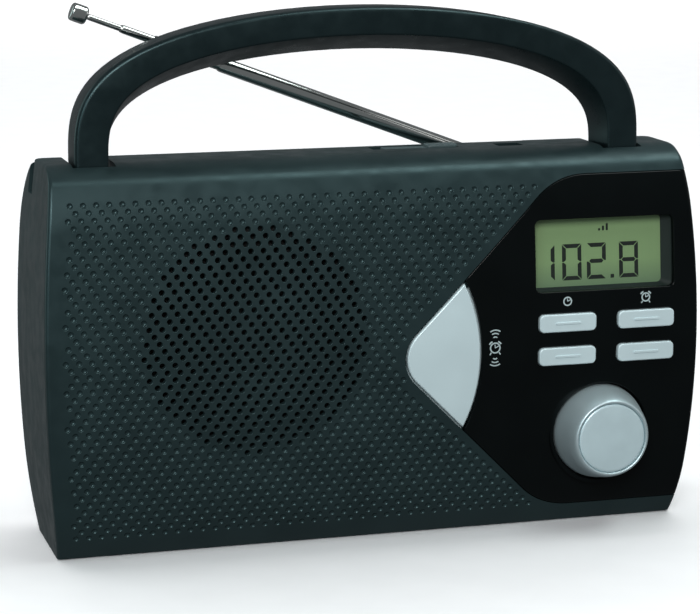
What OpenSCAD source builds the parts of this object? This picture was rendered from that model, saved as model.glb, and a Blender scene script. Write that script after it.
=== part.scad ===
// Portable mains and battery alarm-clock radio with a folding carry handle and a telescopic aerial.
// Frame: X to the right, Y to the rear, Z up, origin on the resting plane under the middle of the radio.

/* [Cabinet] */
// Greatest width of the cabinet, at mid height
body_w = 225.4; // [215:0.1:235]
// Height of the cabinet's flat top above the table
body_h = 130; // [126:0.5:134]
// Frontmost point of the bowed front panel
front_y = -26; // [-27:0.1:-25]
// Flat rear face
rear_y = 35; // [34:0.1:36]
// Plane where the front and rear cabinets meet
part_y = -4; // [-5:0.5:-3]
// Moulded wall thickness
wall = 2.4; // [2:0.1:3]
// Height of the cabinet's underside above the table
base_z = 0.5; // [0.3:0.1:1]
// How far the ends draw in from mid height to the top edge
end_bulge = 4.2; // [2:0.1:6]

/* [Grille] */
// Centre of the round grille, X
grille_x = -43.4; // [-50:0.1:-40]
// Centre of the round grille, Z
grille_z = 72.3; // [68:0.1:76]
// Radius within which hole centres lie
grille_r = 37.9; // [30:0.1:38]
// Diameter of one grille hole
hole_d = 1.9; // [1.5:0.1:2.1]
// Pitch of the holes along a row
hole_pitch = 4.244; // [4:0.001:4.6]
// Spacing of the rows
row_pitch = 2.394; // [2.3:0.001:2.6]
// Sideways shift from one row to the next
row_shift = 1.665; // [1.5:0.001:1.9]

/* [Control fascia] */
// Thickness of the gloss fascia
fascia_t = 1.8; // [1.5:0.1:2]
// Top edge of the fascia
fascia_top = 122; // [121:0.1:123]
// Bottom edge of the fascia
fascia_bottom = 6.8; // [6:0.1:8]
// X where the two diagonals would meet
tip_x = 2.4; // [1:0.1:4]
// Height of the fascia's tip
tip_z = 62.8; // [62:0.1:64]

/* [Display and keys] */
// Display opening, left edge
window_x = 53.5; // [53:0.1:54]
// Display opening, lower edge
window_z = 82.9; // [82:0.1:84]
// Display opening width
window_w = 50; // [48:0.1:50.5]
// Display opening height
window_h = 24.3; // [22:0.1:25]
// Key width
key_w = 20.4; // [18:0.1:20.5]
// Key height
key_h = 6.1; // [5:0.1:6.5]
// Height of a key above the fascia
key_proud = 1; // [0.6:0.1:1.4]
// Travel of the keys and the snooze button
press_travel = 0.6; // [0.4:0.1:0.8]

/* [Tuning knob] */
// Knob axis, X
knob_x = 77.8; // [76:0.1:79]
// Knob axis, Z
knob_z = 33.5; // [32:0.1:35]
// Knob skirt radius
knob_r = 16.4; // [14:0.1:16.5]
// Front face of the knob
knob_front = -36; // [-37:0.1:-34]

/* [Carry handle] */
// Half width of the handle outside its legs
handle_a = 97.4; // [96:0.1:98.5]
// Height of the arch above the cabinet top
handle_b = 48.7; // [40:0.1:55]
// Middle of the handle, X
handle_x = -1.8; // [-2.2:0.1:0]
// Front face of the upright handle
handle_y = -10; // [-10.5:0.1:-9]
// Depth of the handle
handle_d = 14; // [12:0.5:14]
// Height of the handle pivots
pivot_z = 118; // [116:0.5:120]

/* [Aerial] */
// Pivot of the aerial, X
aerial_x = 54; // [50:0.5:56]
// Pivot of the aerial, Y
aerial_y = 16; // [15.5:0.1:17]
// Pivot of the aerial, Z
aerial_z = 121.5; // [121.2:0.1:122]
// Angle of the aerial above level
aerial_lift = 20.6; // [0:0.1:60]
// How far each telescopic section stands out
aerial_step = 11.9; // [11.9:0.1:40]

/* [Hidden] */
$fn = 48;

DARK = "#2a3336";
GLOSS = "#15191b";
SILVER = "#b9c4c8";
STEEL = "#c9ccce";
BRASS = "#c9a24a";
BOARD = "#3c6b44";

mid_z = 66;
end_z = 65;
front_r = 307;
roll_start = 45;
roll_rate = 0.0115;
top_roll_r = 16.5;
top_roll_y = front_y + 20;
top_roll_from = 136;
shoulder_r = 26;
shoulder_y = rear_y - shoulder_r;
shoulder_z = body_h - shoulder_r;
foot_curve_r = 46.4;
foot_curve_z = 30;
foot_curve_y = rear_y - foot_curve_r;
steps = 26;
// height where the bowed front runs into the roll of the top edge
roll_meets = body_h - top_roll_r * (1 - sin(top_roll_from)) - 1;
end_r = 65 * 65 / 2 / end_bulge;

// bowed front panel: Y of its surface at height z
function front(z) = front_y + pow(z - mid_z, 2) / 2 / front_r
                  + roll_rate * pow(max(0, abs(z - end_z) - roll_start), 2);
// half width of the cabinet at height z
function half_w(z) = body_w / 2 - pow(z - end_z, 2) / 2 / end_r;

// heights from the underside to the top, drawn in by g
function rise(g) = [for (i = [0:steps]) base_z + g + i * (body_h - base_z - 2 * g) / steps];

function arc(cy, cz, r, from, to, n = 10) =
  [for (i = [0:n]) let(a = from + i * (to - from) / n) [cy + r * cos(a), cz + r * sin(a)]];

// side profile of the cabinet in Y and Z, drawn in by g
function side(g) = concat(
  [for (z = rise(g)) if (z < roll_meets) [front(z) + g, z]],
  arc(top_roll_y, body_h - top_roll_r, top_roll_r - g, top_roll_from, 90),
  arc(shoulder_y, shoulder_z, shoulder_r - g, 90, 0),
  arc(foot_curve_y, foot_curve_z, foot_curve_r - g, 0,
      -asin((foot_curve_z - base_z - g) / (foot_curve_r - g))));

// corner p between the points before and after it, rounded to radius r
function corner(a, p, b, r, n = 8) =
  let(u = (a - p) / norm(a - p), v = (b - p) / norm(b - p), half = acos(u * v) / 2,
      c = p + (u + v) / norm(u + v) * r / sin(half),
      s = p + u * r / tan(half), e = p + v * r / tan(half),
      a0 = atan2(s[1] - c[1], s[0] - c[0]), a1 = atan2(e[1] - c[1], e[0] - c[0]),
      turn = a1 - a0 > 180 ? a1 - a0 - 360 : a1 - a0 < -180 ? a1 - a0 + 360 : a1 - a0)
  [for (i = [0:n]) c + r * [cos(a0 + turn * i / n), sin(a0 + turn * i / n)]];

// fascia outline in X and Z, drawn in by g
function chevron(g) =
  let(top = fascia_top - g, low = fascia_bottom + g, tip = [tip_x + g * sqrt(2), tip_z],
      a = [tip[0] + top - tip_z, top], b = [tip[0] + tip_z - low, low])
  concat([[body_w, top]], corner([body_w, top], a, tip, 26 - g), corner(a, tip, b, 12 - g),
         corner(tip, b, [body_w, low], 26 - g), [[body_w, low]]);

// a shape drawn in X and Z, extruded from Y = y0 to y1
module across(y0, y1) {
  translate([0, y1, 0]) rotate([90, 0, 0]) linear_extrude(y1 - y0) children();
}
// a round shape drawn about the Y axis, its height counted towards the front
module facing(x, z) {
  translate([x, 0, z]) rotate([90, 0, 0]) children();
}
// a shape drawn in Y and Z, extruded along X
module along(x0, x1) {
  translate([x0, 0, 0]) rotate([90, 0, 90]) linear_extrude(x1 - x0) children();
}
module block(lo, hi) {
  translate(lo) cube(hi - lo);
}
module rod_y(x, z, r, y0, y1) {
  facing(x, z) translate([0, 0, -y1]) cylinder(r = r, h = y1 - y0);
}
module rod_x(y, z, r, x0, x1) {
  translate([x0, y, z]) rotate([0, 90, 0]) cylinder(r = r, h = x1 - x0);
}
module rod_z(x, y, r, z0, z1) {
  translate([x, y, z0]) cylinder(r = r, h = z1 - z0);
}
module rounded(x, z, w, h, r) {
  translate([x, z]) polygon(concat(
    arc(w - r, h - r, r, 0, 90, 5), arc(r, h - r, r, 90, 180, 5),
    arc(r, r, r, 180, 270, 5), arc(w - r, r, r, 270, 360, 5)));
}
// the cabinet as one solid, drawn in by g
module cabinet(g) {
  intersection() {
    along(-body_w / 2, body_w / 2) polygon(side(g));
    across(-60, 60) polygon(concat(
      [for (z = rise(g)) [half_w(z) - g, z]],
      [for (z = rise(g)) let(down = body_h + base_z - z) [g - half_w(down), down]]));
  }
}
// a skin that follows the front panel, from depth d0 to d1 behind its surface
module front_skin(d0, d1) {
  along(-body_w / 2, body_w / 2) polygon(concat(
    [for (z = rise(0)) [front(z) + d0, z]],
    [for (i = [steps:-1:0]) let(z = rise(0)[i]) [front(z) + d1, z]]));
}

// ---- wells, shelf and screw places shared by both cabinet halves ----
leg_front_a = 86.4;
leg_gap = 0.9;
well_floor = pivot_z - handle_d / 2 - 0.6;
well_front = handle_y - 1;
well_wall = 1.8;
WELLS = [[handle_x - handle_a - leg_gap, handle_x - leg_front_a + 2.2],
         [handle_x + leg_front_a - 2.2, handle_x + handle_a + leg_gap]];
pivot_y = handle_y + handle_d / 2;

module wells(g) {
  for (w = WELLS) block([w[0] - g, well_front - g, well_floor - g], [w[1] + g, rear_y + 5, body_h + 5]);
}

shelf_y = 10.4;
shelf_z = aerial_z - 5.7;
shelf_right = aerial_x + 8;
// channel that lets the level aerial through the left end
channel_r = 3.7;
module shelf(g) {
  block([WELLS[0][0] - g, shelf_y - g, shelf_z - g], [shelf_right + g, rear_y + 5, body_h + 5]);
  block([-body_w, aerial_y - channel_r - g, aerial_z - channel_r - g],
        [WELLS[0][0], aerial_y + channel_r + g, body_h + 5]);
}

// feet in X and Y, cabinet screws in X and Z
FEET = [[-88, -9.4], [88, -9.4], [-88, 17], [88, 17]];
foot_r = 4;
SCREWS = [[-98, 20], [-98, 100], [40, 11], [73, 116]];
boss_r = 4;
head_y = 18;

// ---- cabinets ----
SPEAKER_FRONT = -19.6;
lattice_top = 108.775;
lattice_x = -53.87;
mirror_row = 19;

// X offset of grille row j: the lattice leans one way above the middle row and the other way below it
function row_x(j) = lattice_x + row_shift * (j <= mirror_row ? j : 2 * mirror_row - j);

module grille_holes() {
  for (j = [-4:40]) let(z = lattice_top - j * row_pitch)
    for (i = [-40:40]) let(x = row_x(j) + i * hole_pitch)
      if (norm([x - grille_x, z - grille_z]) < grille_r) translate([x, z]) circle(d = hole_d, $fn = 20);
}

module snooze_zone(g) {
  intersection() {
    across(-60, 60) polygon(chevron(g));
    rod_y(-23.5, tip_z, 57.7 - g, -60, 60);
  }
}

module front_cabinet() color(DARK) {
  difference() {
    union() {
      intersection() {
        difference() {
          cabinet(0);
          difference() {
            cabinet(wall);
            wells(well_wall);
          }
        }
        block([-body_w, front_y - 1, 0], [body_w, part_y, body_h]);
      }
      intersection() {
        cabinet(1);
        union() {
          facing(grille_x, grille_z) translate([0, 0, -SPEAKER_FRONT]) difference() {
            cylinder(r = 40.5, h = 10);
            translate([0, 0, -1]) cylinder(r = 38.6, h = 12);
          }
          for (s = SCREWS) rod_y(s[0], s[1], boss_r, front(s[1]) + (s[0] > 60 ? 4.4 : 1.8), part_y);
          block([72, -13, 116], [74, part_y, body_h - 1]);
        }
      }
    }
    wells(0);
    intersection() {
      front_skin(-2, fascia_t + 0.1);
      across(-60, 60) polygon(chevron(0));
    }
    intersection() {
      block([-20, front_y - 5, 0], [body_w / 2 - 6, front_y + 8, body_h]);
      across(-60, front_y + 8) polygon(chevron(3));
    }
    intersection() {
      snooze_zone(0);
      block([-20, front_y - 5, 0], [60, front_y + 8, body_h]);
    }
    across(front_y - 1, SPEAKER_FRONT - 0.5) grille_holes();
    for (s = SCREWS) rod_y(s[0], s[1], 1.3, front(s[1]) + 5, part_y + 1);
    for (w = WELLS) rod_x(pivot_y, pivot_z, 3.05, w[0] - 3, w[1] + 3);
    for (p = FEET) rod_z(p[0], p[1], foot_r + 0.1, 0, 1.7);
  }
}

bay_lo = [-75, 5.9, 8.6];
bay_hi = [29, rear_y + 1, 62.4];
bay_wall = 1.5;
door_gap = 0.3;
door_lip = 2;

module bay_space(g) {
  block(bay_lo - [g, g, g], bay_hi + [g, 0, g]);
}

FUNCTION_SLOT = [4, 34.4, 0.4, 7.2];
BAND_SLOT = [48, 57, -2, 5];
wheel_x = 101.2;
wheel_z = 92;
wheel_r = 11.3;
wheel_y = 8;
wheel_t = 3.2;
jack_y = 14;
jack_z = 60;
inlet_x = 97;
inlet_z = 40;
inlet_w = 17;
inlet_h = 12;

module rear_cabinet() color(DARK) {
  difference() {
    intersection() {
      union() {
        difference() {
          cabinet(0);
          difference() {
            cabinet(wall);
            wells(well_wall);
            shelf(well_wall);
            bay_space(bay_wall);
          }
        }
        intersection() {
          cabinet(1);
          union() {
            for (s = SCREWS) rod_y(s[0], s[1], boss_r, part_y, rear_y);
            for (p = BOARD_SCREWS) rod_y(p[0], p[1], 3, main_y + board_t, rear_y);
          }
        }
        // bumpers that keep the rear face off a wall
        for (x = [-100, 100]) rod_y(x, 72, 4, rear_y - 1, rear_y + 1);
      }
      block([-body_w, part_y, 0], [body_w, rear_y + 1, body_h]);
    }
    wells(0);
    shelf(0);
    bay_space(0);
    block([bay_lo[0] - door_lip, 20, bay_lo[2] + 1.6],
          [bay_hi[0] + door_lip, rear_y + 1, bay_hi[2] + door_lip]);
    for (s = SCREWS) {
      rod_y(s[0], s[1], 1.8, part_y - 1, rear_y);
      rod_y(s[0], s[1], 3.4, head_y, rear_y + 1);
    }
    for (p = BOARD_SCREWS) rod_y(p[0], p[1], 1.45, 0, main_y + 5.3);
    rod_y(aerial_x, aerial_z, 2.6, 0, 15);
    block([FUNCTION_SLOT[0], FUNCTION_SLOT[2], 120], [FUNCTION_SLOT[1], FUNCTION_SLOT[3], body_h + 1]);
    block([BAND_SLOT[0], BAND_SLOT[2], 120], [BAND_SLOT[1], BAND_SLOT[3], body_h + 1]);
    block([104, wheel_y - 0.6, wheel_z - 9.5], [body_w, wheel_y + wheel_t + 0.6, wheel_z + 9.5]);
    rod_x(jack_y, jack_z, 3.6, 106, body_w / 2 + 1);
    block([inlet_x - inlet_w / 2 - 0.2, 20, inlet_z - inlet_h / 2 - 0.2],
          [inlet_x + inlet_w / 2 + 0.2, rear_y + 1, inlet_z + inlet_h / 2 + 0.2]);
    for (w = WELLS) rod_x(pivot_y, pivot_z, 3.05, w[0] - 3, w[1] + 3);
    for (p = FEET) rod_z(p[0], p[1], foot_r + 0.1, 0, 1.7);
    // cooling slots over the transformer
    for (i = [0:6]) block([46 + 5 * i, rear_y - 4, 48], [48 + 5 * i, rear_y + 1, 70]);
  }
}

module foot_pads() color("#1b1d1e") {
  for (p = FEET) rod_z(p[0], p[1], foot_r, 0, 1.6);
}

// ---- fascia, display and keys ----
window_mid_z = window_z + window_h / 2;
display_tilt = atan((window_mid_z - mid_z) / front_r);
KEYS = [for (z = [69.3, 57.9]) for (x = [54.5, 82.9]) [x, z]];

// round well that the knob turns in, behind the fascia
module knob_well() {
  difference() {
    intersection() {
      rod_y(knob_x, knob_z, knob_r + 1.9, -60, knob_floor + 1);
      cabinet(0.01);
    }
    rod_y(knob_x, knob_z, knob_r + 0.7, -60, knob_floor);
    rod_y(knob_x, knob_z, 3.4, -60, 0);
  }
}

module control_fascia() color(GLOSS) {
  knob_well();
  difference() {
    intersection() {
      front_skin(0, fascia_t);
      across(-60, 60) polygon(chevron(0.15));
      cabinet(0);
    }
    snooze_zone(-0.4);
    across(-60, 0) rounded(window_x, window_z, window_w, window_h, 2);
    for (k = KEYS) across(-60, 0) rounded(k[0] - 0.3, k[1] - 0.3, key_w + 0.6, key_h + 0.6, 2);
    rod_y(knob_x, knob_z, knob_r + 0.7, -60, 0);
  }
}

// a flat layer of the display, tilted with the fascia; d0 and d1 count from the panel surface
module display_layer(d0, d1, w, h, r) {
  translate([window_x + window_w / 2, front(window_mid_z), window_mid_z]) rotate([-display_tilt, 0, 0])
    across(d0, d1) rounded(-w / 2, -h / 2, w, h, r);
}

module display_window() color("#9fb0a8", 0.5) {
  display_layer(2.2, 3, 52.8, 27, 1.5);
}

module lcd_panel() color("#8f9c8c") {
  display_layer(5.2, 6.5, 49, 25, 0.5);
}

// frame that holds the display, with a funnel whose right and lower walls slope
module lcd_holder() color("#39474a") {
  difference() {
    display_layer(3.1, 7, 54.4, 28.6, 1);
    display_layer(5.1, 8, 49.4, 25.4, 0.5);
    hull() {
      display_layer(2.9, 3.1, window_w + 0.4, window_h + 0.4, 2);
      translate([-1.5, 0, 0.7]) display_layer(5.1, 5.2, window_w - 2.8, window_h - 1.2, 1.5);
    }
  }
}

board_front_y = -17.4;
board_t = 1.6;
module key_board() color(BOARD) {
  difference() {
    block([13, board_front_y, 50], [105, board_front_y + board_t, 80]);
    for (p = KEY_BOARD_HOLES) rod_y(p[0], p[1], 1.3, -30, 0);
  }
}
KEY_BOARD_HOLES = [[44, 77], [101, 54], [18, 77]];

switch_y = -20.6;
SNOOZE_SWITCH = [24, 63];
module tact_switch(x, z) {
  block([x - 3, switch_y, z - 3], [x + 3, board_front_y, z + 3]);
  rod_y(x, z, 1.7, switch_y - 0.6, switch_y);
}
module key_switches() color("#30343a") {
  for (k = KEYS) tact_switch(k[0] + key_w / 2, k[1] + key_h / 2);
  tact_switch(SNOOZE_SWITCH[0], SNOOZE_SWITCH[1]);
}

// one key: a cap through the fascia with a raised dash, a flange behind it and a stem to its switch
module key(k) {
  x = k[0];
  z = k[1];
  face = front(z + key_h / 2);
  across(face - key_proud, face + fascia_t + 0.6) rounded(x, z, key_w, key_h, 1.7);
  across(face - key_proud - 0.3, face - key_proud + 0.2)
    rounded(x + key_w / 2 - 4.5, z + key_h / 2 - 0.4, 9, 0.8, 0.4);
  across(face + fascia_t + 0.6, face + fascia_t + 1.6) rounded(x - 1, z - 1, key_w + 2, key_h + 2, 1);
  rod_y(x + key_w / 2, z + key_h / 2, 1.6, face + fascia_t + 1.2, switch_y - 0.6 - press_travel - 0.15);
}
module clock_key() color(SILVER) key(KEYS[0]);
module alarm_key() color(SILVER) key(KEYS[1]);
module hour_key() color(SILVER) key(KEYS[2]);
module minute_key() color(SILVER) key(KEYS[3]);

module snooze_button() color(SILVER) {
  intersection() {
    front_skin(-0.4, 3);
    snooze_zone(0.6);
  }
  intersection() {
    front_skin(3, 3.9);
    snooze_zone(-0.9);
  }
  rod_y(SNOOZE_SWITCH[0], SNOOZE_SWITCH[1], 2, front(tip_z) + 3.5, switch_y - 0.6 - press_travel - 0.15);
}

// ---- tuning ----
knob_floor = -21.6;
module tuning_knob() color(SILVER) {
  skirt = knob_floor - 0.4;
  facing(knob_x, knob_z) rotate_extrude() polygon([
    [3.05, -knob_front - 6], [3.05, -skirt], [5.5, -skirt], [5.5, -knob_front - 4],
     [knob_r - 2.4, -knob_front - 5],
    [knob_r - 1.6, -skirt], [knob_r, -skirt], [knob_r - 0.4, -skirt + 3], [knob_r - 1.3, -skirt + 6],
    [knob_r - 2.4, -skirt + 8.6], [knob_r - 3.6, -knob_front - 0.5], [knob_r - 4.4, -knob_front],
    [knob_r - 4.4, -knob_front - 1.1], [0, -knob_front - 1.1], [0, -knob_front - 6]]);
}
module knob_insert() color("#aab6bb") {
  rod_y(knob_x, knob_z, knob_r - 4.5, knob_front + 0.2, knob_front + 1.1);
}
module tuning_shaft() color(BRASS) {
  rod_y(knob_x, knob_z, 3, knob_front + 6, -12);
}
module tuning_capacitor() color("#e9e7dd") {
  difference() {
    union() {
      block([knob_x - 10, -11, knob_z - 10], [knob_x + 10, 0.4, knob_z + 10]);
      rod_y(knob_x, knob_z, 5, -13, -11);
    }
    rod_y(knob_x, knob_z, 3.05, -30, -11.6);
  }
}

// ---- boards ----
main_y = 0.4;
BOARD_SCREWS = [[36, 98], [96, 22], [38, 24], [78, 100]];
module main_board() color(BOARD) {
  difference() {
    block([12, main_y, 18], [108, main_y + board_t, 104]);
    block([104.5, main_y - 1, 18 - 1], [110, main_y + 3, 80]);
    for (p = BOARD_SCREWS) rod_y(p[0], p[1], 1.6, -2, 5);
  }
}
module board_components() color("#2c2c30") {
  // tuner and amplifier chips
  block([34, main_y - 3, 60], [52, main_y, 68]);
  block([60, main_y - 3, 76], [80, main_y, 84]);
  // screened coil cans
  for (i = [0:2]) block([30 + 12 * i, main_y - 9, 84], [37 + 12 * i, main_y, 91]);
  // electrolytic capacitors
  for (i = [0:3]) rod_y(30 + 10 * i, 51, 4, main_y - 11, main_y);
  rod_y(28, 32, 6, main_y - 13, main_y);
  rod_y(90, 62, 4, main_y - 10, main_y);
}
module board_screws() color(STEEL) {
  for (p = BOARD_SCREWS) {
    rod_y(p[0], p[1], 1.4, main_y - 1.6, main_y + 5);
    rod_y(p[0], p[1], 2.8, main_y - 2, main_y);
  }
}

rod_yy = -7;
rod_zz = 117;
module ferrite_rod() color("#3a3a3e") {
  rod_x(rod_yy, rod_zz, 4, -70, 40);
}
module ferrite_coil() color("#b0612c") {
  difference() {
    union() {
      rod_x(rod_yy, rod_zz, 5.2, -62, -34);
      rod_x(rod_yy, rod_zz, 5.2, 10, 20);
    }
    rod_x(rod_yy, rod_zz, 4.05, -80, 60);
  }
}
module ferrite_clips() color("#e4e4de") {
  difference() {
    for (x = [-24, 30]) {
      block([x, rod_yy - 5.5, rod_zz - 5.5], [x + 6, rod_yy + 5.5, rod_zz + 5.5]);
      block([x, rod_yy - 0.5, rod_zz], [x + 6, rod_yy + 5.5, body_h - wall - 0.15]);
    }
    rod_x(rod_yy, rod_zz, 4.1, -80, 60);
  }
}

// ---- loudspeaker ----
SPEAKER_SCREWS = [for (a = [45:90:315]) [grille_x + 42.6 * cos(a), grille_z + 42.6 * sin(a)]];
// speaker parts are drawn about their own axis, with their height counted towards the front
module speaker() {
  facing(grille_x, grille_z) translate([0, 0, -0.8]) children();
}
module speaker_gasket() color("#1d1f20") {
  speaker() translate([0, 0, 19.5]) difference() {
    cylinder(r = 40.5, h = 0.8);
    translate([0, 0, -1]) cylinder(r = 34, h = 3);
  }
}
module speaker_frame() color("#7d8386") {
  difference() {
    speaker() rotate_extrude() polygon([
      [34, 19.4], [40, 19.4], [40, 18.4], [35.6, 18.4], [25, 6], [11.2, 6], [11.2, 6.8], [24.4, 6.8]]);
    for (a = [0:60:300]) speaker() rotate([0, 0, a])
      translate([27, -8, 7.6]) cube([10, 16, 7.2]);
  }
}
module speaker_magnet() color("#54585b") {
  speaker() translate([0, 0, -3.4]) cylinder(r = 19.5, h = 9.4);
  speaker() translate([0, 0, 6]) cylinder(r = 8.6, h = 2);
}
module speaker_cone() color("#26282a") {
  speaker() rotate_extrude() polygon([
    [28, 18.8], [28.7, 18.8], [12, 8.2], [9.2, 8.2], [9.2, 8.9], [11.6, 8.9]]);
}
module speaker_surround() color("#17191a") {
  speaker() rotate_extrude() polygon([
    [28.1, 18.9], [29, 20], [31, 20.4], [32.6, 20], [33.4, 19.5], [33.4, 19.1], [32.6, 19.3],
    [31, 19.8], [29.4, 19.4], [28.75, 18.85]]);
}
module speaker_dust_cap() color("#222426") {
  speaker() rotate_extrude() polygon(concat(
    [for (i = [0:6]) [10.4 * sin(15 * i), 9.6 + 4 * cos(15 * i)]],
    [[10, 9.2], [0, 9.2]]));
}
module speaker_screws() color(STEEL) {
  for (p = SPEAKER_SCREWS) rod_y(p[0], p[1], 2.6, -17.6, -15.8);
}

// ---- power ----
core_x = 46;
core_z = 8;
module mains_transformer() color("#6e7276") {
  difference() {
    block([core_x, 7, core_z], [core_x + 40, 25, core_z + 34]);
    for (x = [core_x + 7, core_x + 26]) block([x, 6, core_z + 6], [x + 7, 26, core_z + 28]);
  }
}
module transformer_coil() color("#c9a24a") {
  difference() {
    block([core_x + 7.2, 4, core_z + 6.2], [core_x + 32.8, 28, core_z + 27.8]);
    block([core_x + 13.9, 6.9, core_z + 5], [core_x + 26.1, 25.1, core_z + 29]);
  }
}
module mains_inlet() color("#161819") {
  difference() {
    block([inlet_x - inlet_w / 2, 17, inlet_z - inlet_h / 2],
          [inlet_x + inlet_w / 2, rear_y - 0.5, inlet_z + inlet_h / 2]);
    across(20, rear_y) rounded(inlet_x - 6.8, inlet_z - 3.9, 13.6, 7.8, 3.5);
    for (x = [-4.3, 4.3]) rod_y(inlet_x + x, inlet_z, 1.2, 12, 21);
  }
}
module inlet_pins() color(BRASS) {
  for (x = [-4.3, 4.3]) rod_y(inlet_x + x, inlet_z, 1.18, 14, 30);
}
module headphone_jack() color("#202325") {
  difference() {
    union() {
      block([95.5, jack_y - 4, jack_z - 4], [108, jack_y + 4, jack_z + 4]);
      rod_x(jack_y, jack_z, 3.5, 108, 112);
    }
    rod_x(jack_y, jack_z, 1.8, 98, 113);
  }
}
CELL_Z = [24.4, 49.6];
cell_r = 12.6;
cell_y = 19.1;
module battery_cells() color("#3f5f86") {
  for (z = CELL_Z, x = [-72.5, -22.5]) {
    rod_x(cell_y, z, cell_r, x, x + 48.2);
    rod_x(cell_y, z, 3.2, x + 48.2, x + 49.6);
  }
}
module battery_contacts() color(STEEL) {
  for (z = CELL_Z, x = [bay_lo[0] + 0.05, bay_hi[0] - 0.55])
    block([x, cell_y - 8, z - 8], [x + 0.5, cell_y + 8, z + 8]);
}
module battery_springs() color(STEEL) {
  for (z = CELL_Z)
    translate([bay_lo[0] + 0.6, cell_y, z]) rotate([0, 90, 0]) cylinder(r1 = 6, r2 = 3.5, h = 1.8);
}
module battery_door() color(DARK) {
  difference() {
    intersection() {
      cabinet(0);
      block([bay_lo[0] - door_lip + door_gap, 20, bay_lo[2] + 1.6 + door_gap],
            [bay_hi[0] + door_lip - door_gap, rear_y + 1, bay_hi[2] + door_lip - door_gap]);
    }
    cabinet(2.2);
    // finger ridges
    for (i = [0:4]) block([-33, rear_y - 0.6, 53 + 1.8 * i], [-13, rear_y + 1, 53.9 + 1.8 * i]);
  }
}

// ---- side and top controls ----
module volume_control() color("#3b4044") {
  difference() {
    rod_y(wheel_x, wheel_z, 8, main_y + board_t, wheel_y - 0.5);
    rod_y(wheel_x, wheel_z, 2.05, main_y + board_t + 1.4, wheel_y);
  }
}
module volume_wheel() color("#1b1f21") {
  difference() {
    rod_y(wheel_x, wheel_z, wheel_r, wheel_y, wheel_y + wheel_t);
    for (a = [0:12:348]) rod_y(wheel_x + (wheel_r + 0.2) * cos(a), wheel_z + (wheel_r + 0.2) * sin(a), 0.7,
                               wheel_y - 1, wheel_y + wheel_t + 1);
  }
  rod_y(wheel_x, wheel_z, 2, main_y + board_t + 1.8, wheel_y);
}
module slide_switch(slot) {
  mid = (slot[2] + slot[3]) / 2;
  difference() {
    block([slot[0] - 1, mid - 3, 118.2], [slot[1] + 1, mid + 3, 125.2]);
    block([slot[0] + 0.2, mid - 1.3, 121], [slot[1] - 0.2, mid + 1.3, 126]);
  }
}
module function_switch() color("#3b4044") slide_switch(FUNCTION_SLOT);
module band_switch() color("#3b4044") slide_switch(BAND_SLOT);
module function_slider() color("#46565a") {
  mid = (FUNCTION_SLOT[2] + FUNCTION_SLOT[3]) / 2;
  block([8.2, FUNCTION_SLOT[2] + 0.3, 126.5], [34.1, FUNCTION_SLOT[3] - 0.3, body_h - 0.1]);
  block([23.4, FUNCTION_SLOT[2] + 0.3, body_h - 0.1], [34.1, FUNCTION_SLOT[3] - 0.3, body_h + 0.9]);
  block([20, mid - 1, 122], [24, mid + 1, 126.5]);
}
module band_slider() color("#101213") {
  mid = (BAND_SLOT[2] + BAND_SLOT[3]) / 2;
  block([48.3, BAND_SLOT[2] + 0.3, 126.5], [52.6, BAND_SLOT[3] - 0.3, body_h - 0.9]);
  block([49.4, mid - 1, 122], [51.6, mid + 1, 126.5]);
}

// ---- screws that close the cabinet ----
module cabinet_screws() color(STEEL) {
  for (s = SCREWS) {
    rod_y(s[0], s[1], 1.25, -14, head_y);
    rod_y(s[0], s[1], 3, head_y, head_y + 2.2);
  }
}

// ---- carry handle ----
squareness = 3.1;
rear_squareness = 2.7;
rear_inner = [84.3, 33.6];
front_inner = [86.4, 39.6];
arch_points = 40;
// half ellipse with half width a and height b, its shoulders squarer as n grows
function arch(a, b, n = squareness) = [for (i = [0:arch_points]) let(t = 180 * i / arch_points)
  [handle_x + a * cos(t), body_h + b * pow(max(0, sin(t)), 2 / n)]];
slabs = 4;
module carry_handle() color("#1f2b2e") {
  difference() {
    union() {
      for (i = [0:slabs - 1]) let(s = i / (slabs - 1), inner = front_inner * (1 - s) + rear_inner * s,
                                  n = squareness * (1 - s) + rear_squareness * s,
                                  y = handle_y + i * handle_d / slabs)
        across(y, y + handle_d / slabs) difference() {
          polygon(arch(handle_a, handle_b));
          polygon(concat(arch(inner[0], inner[1], n),
                         [[handle_x - inner[0], body_h - 1], [handle_x + inner[0], body_h - 1]]));
        }
      for (s = [-1, 1]) {
        x0 = handle_x + (s < 0 ? -handle_a : leg_front_a);
        block([x0, handle_y, pivot_z], [x0 + handle_a - leg_front_a, handle_y + handle_d, body_h]);
        rod_x(pivot_y, pivot_z, handle_d / 2, x0, x0 + handle_a - leg_front_a);
      }
    }
    rod_x(pivot_y, pivot_z, 3.06, -body_w, body_w);
  }
}
module handle_pivots() color(STEEL) {
  for (w = WELLS) rod_x(pivot_y, pivot_z, 3, w[0] - 1.7, w[1] + 1.7);
}

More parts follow.
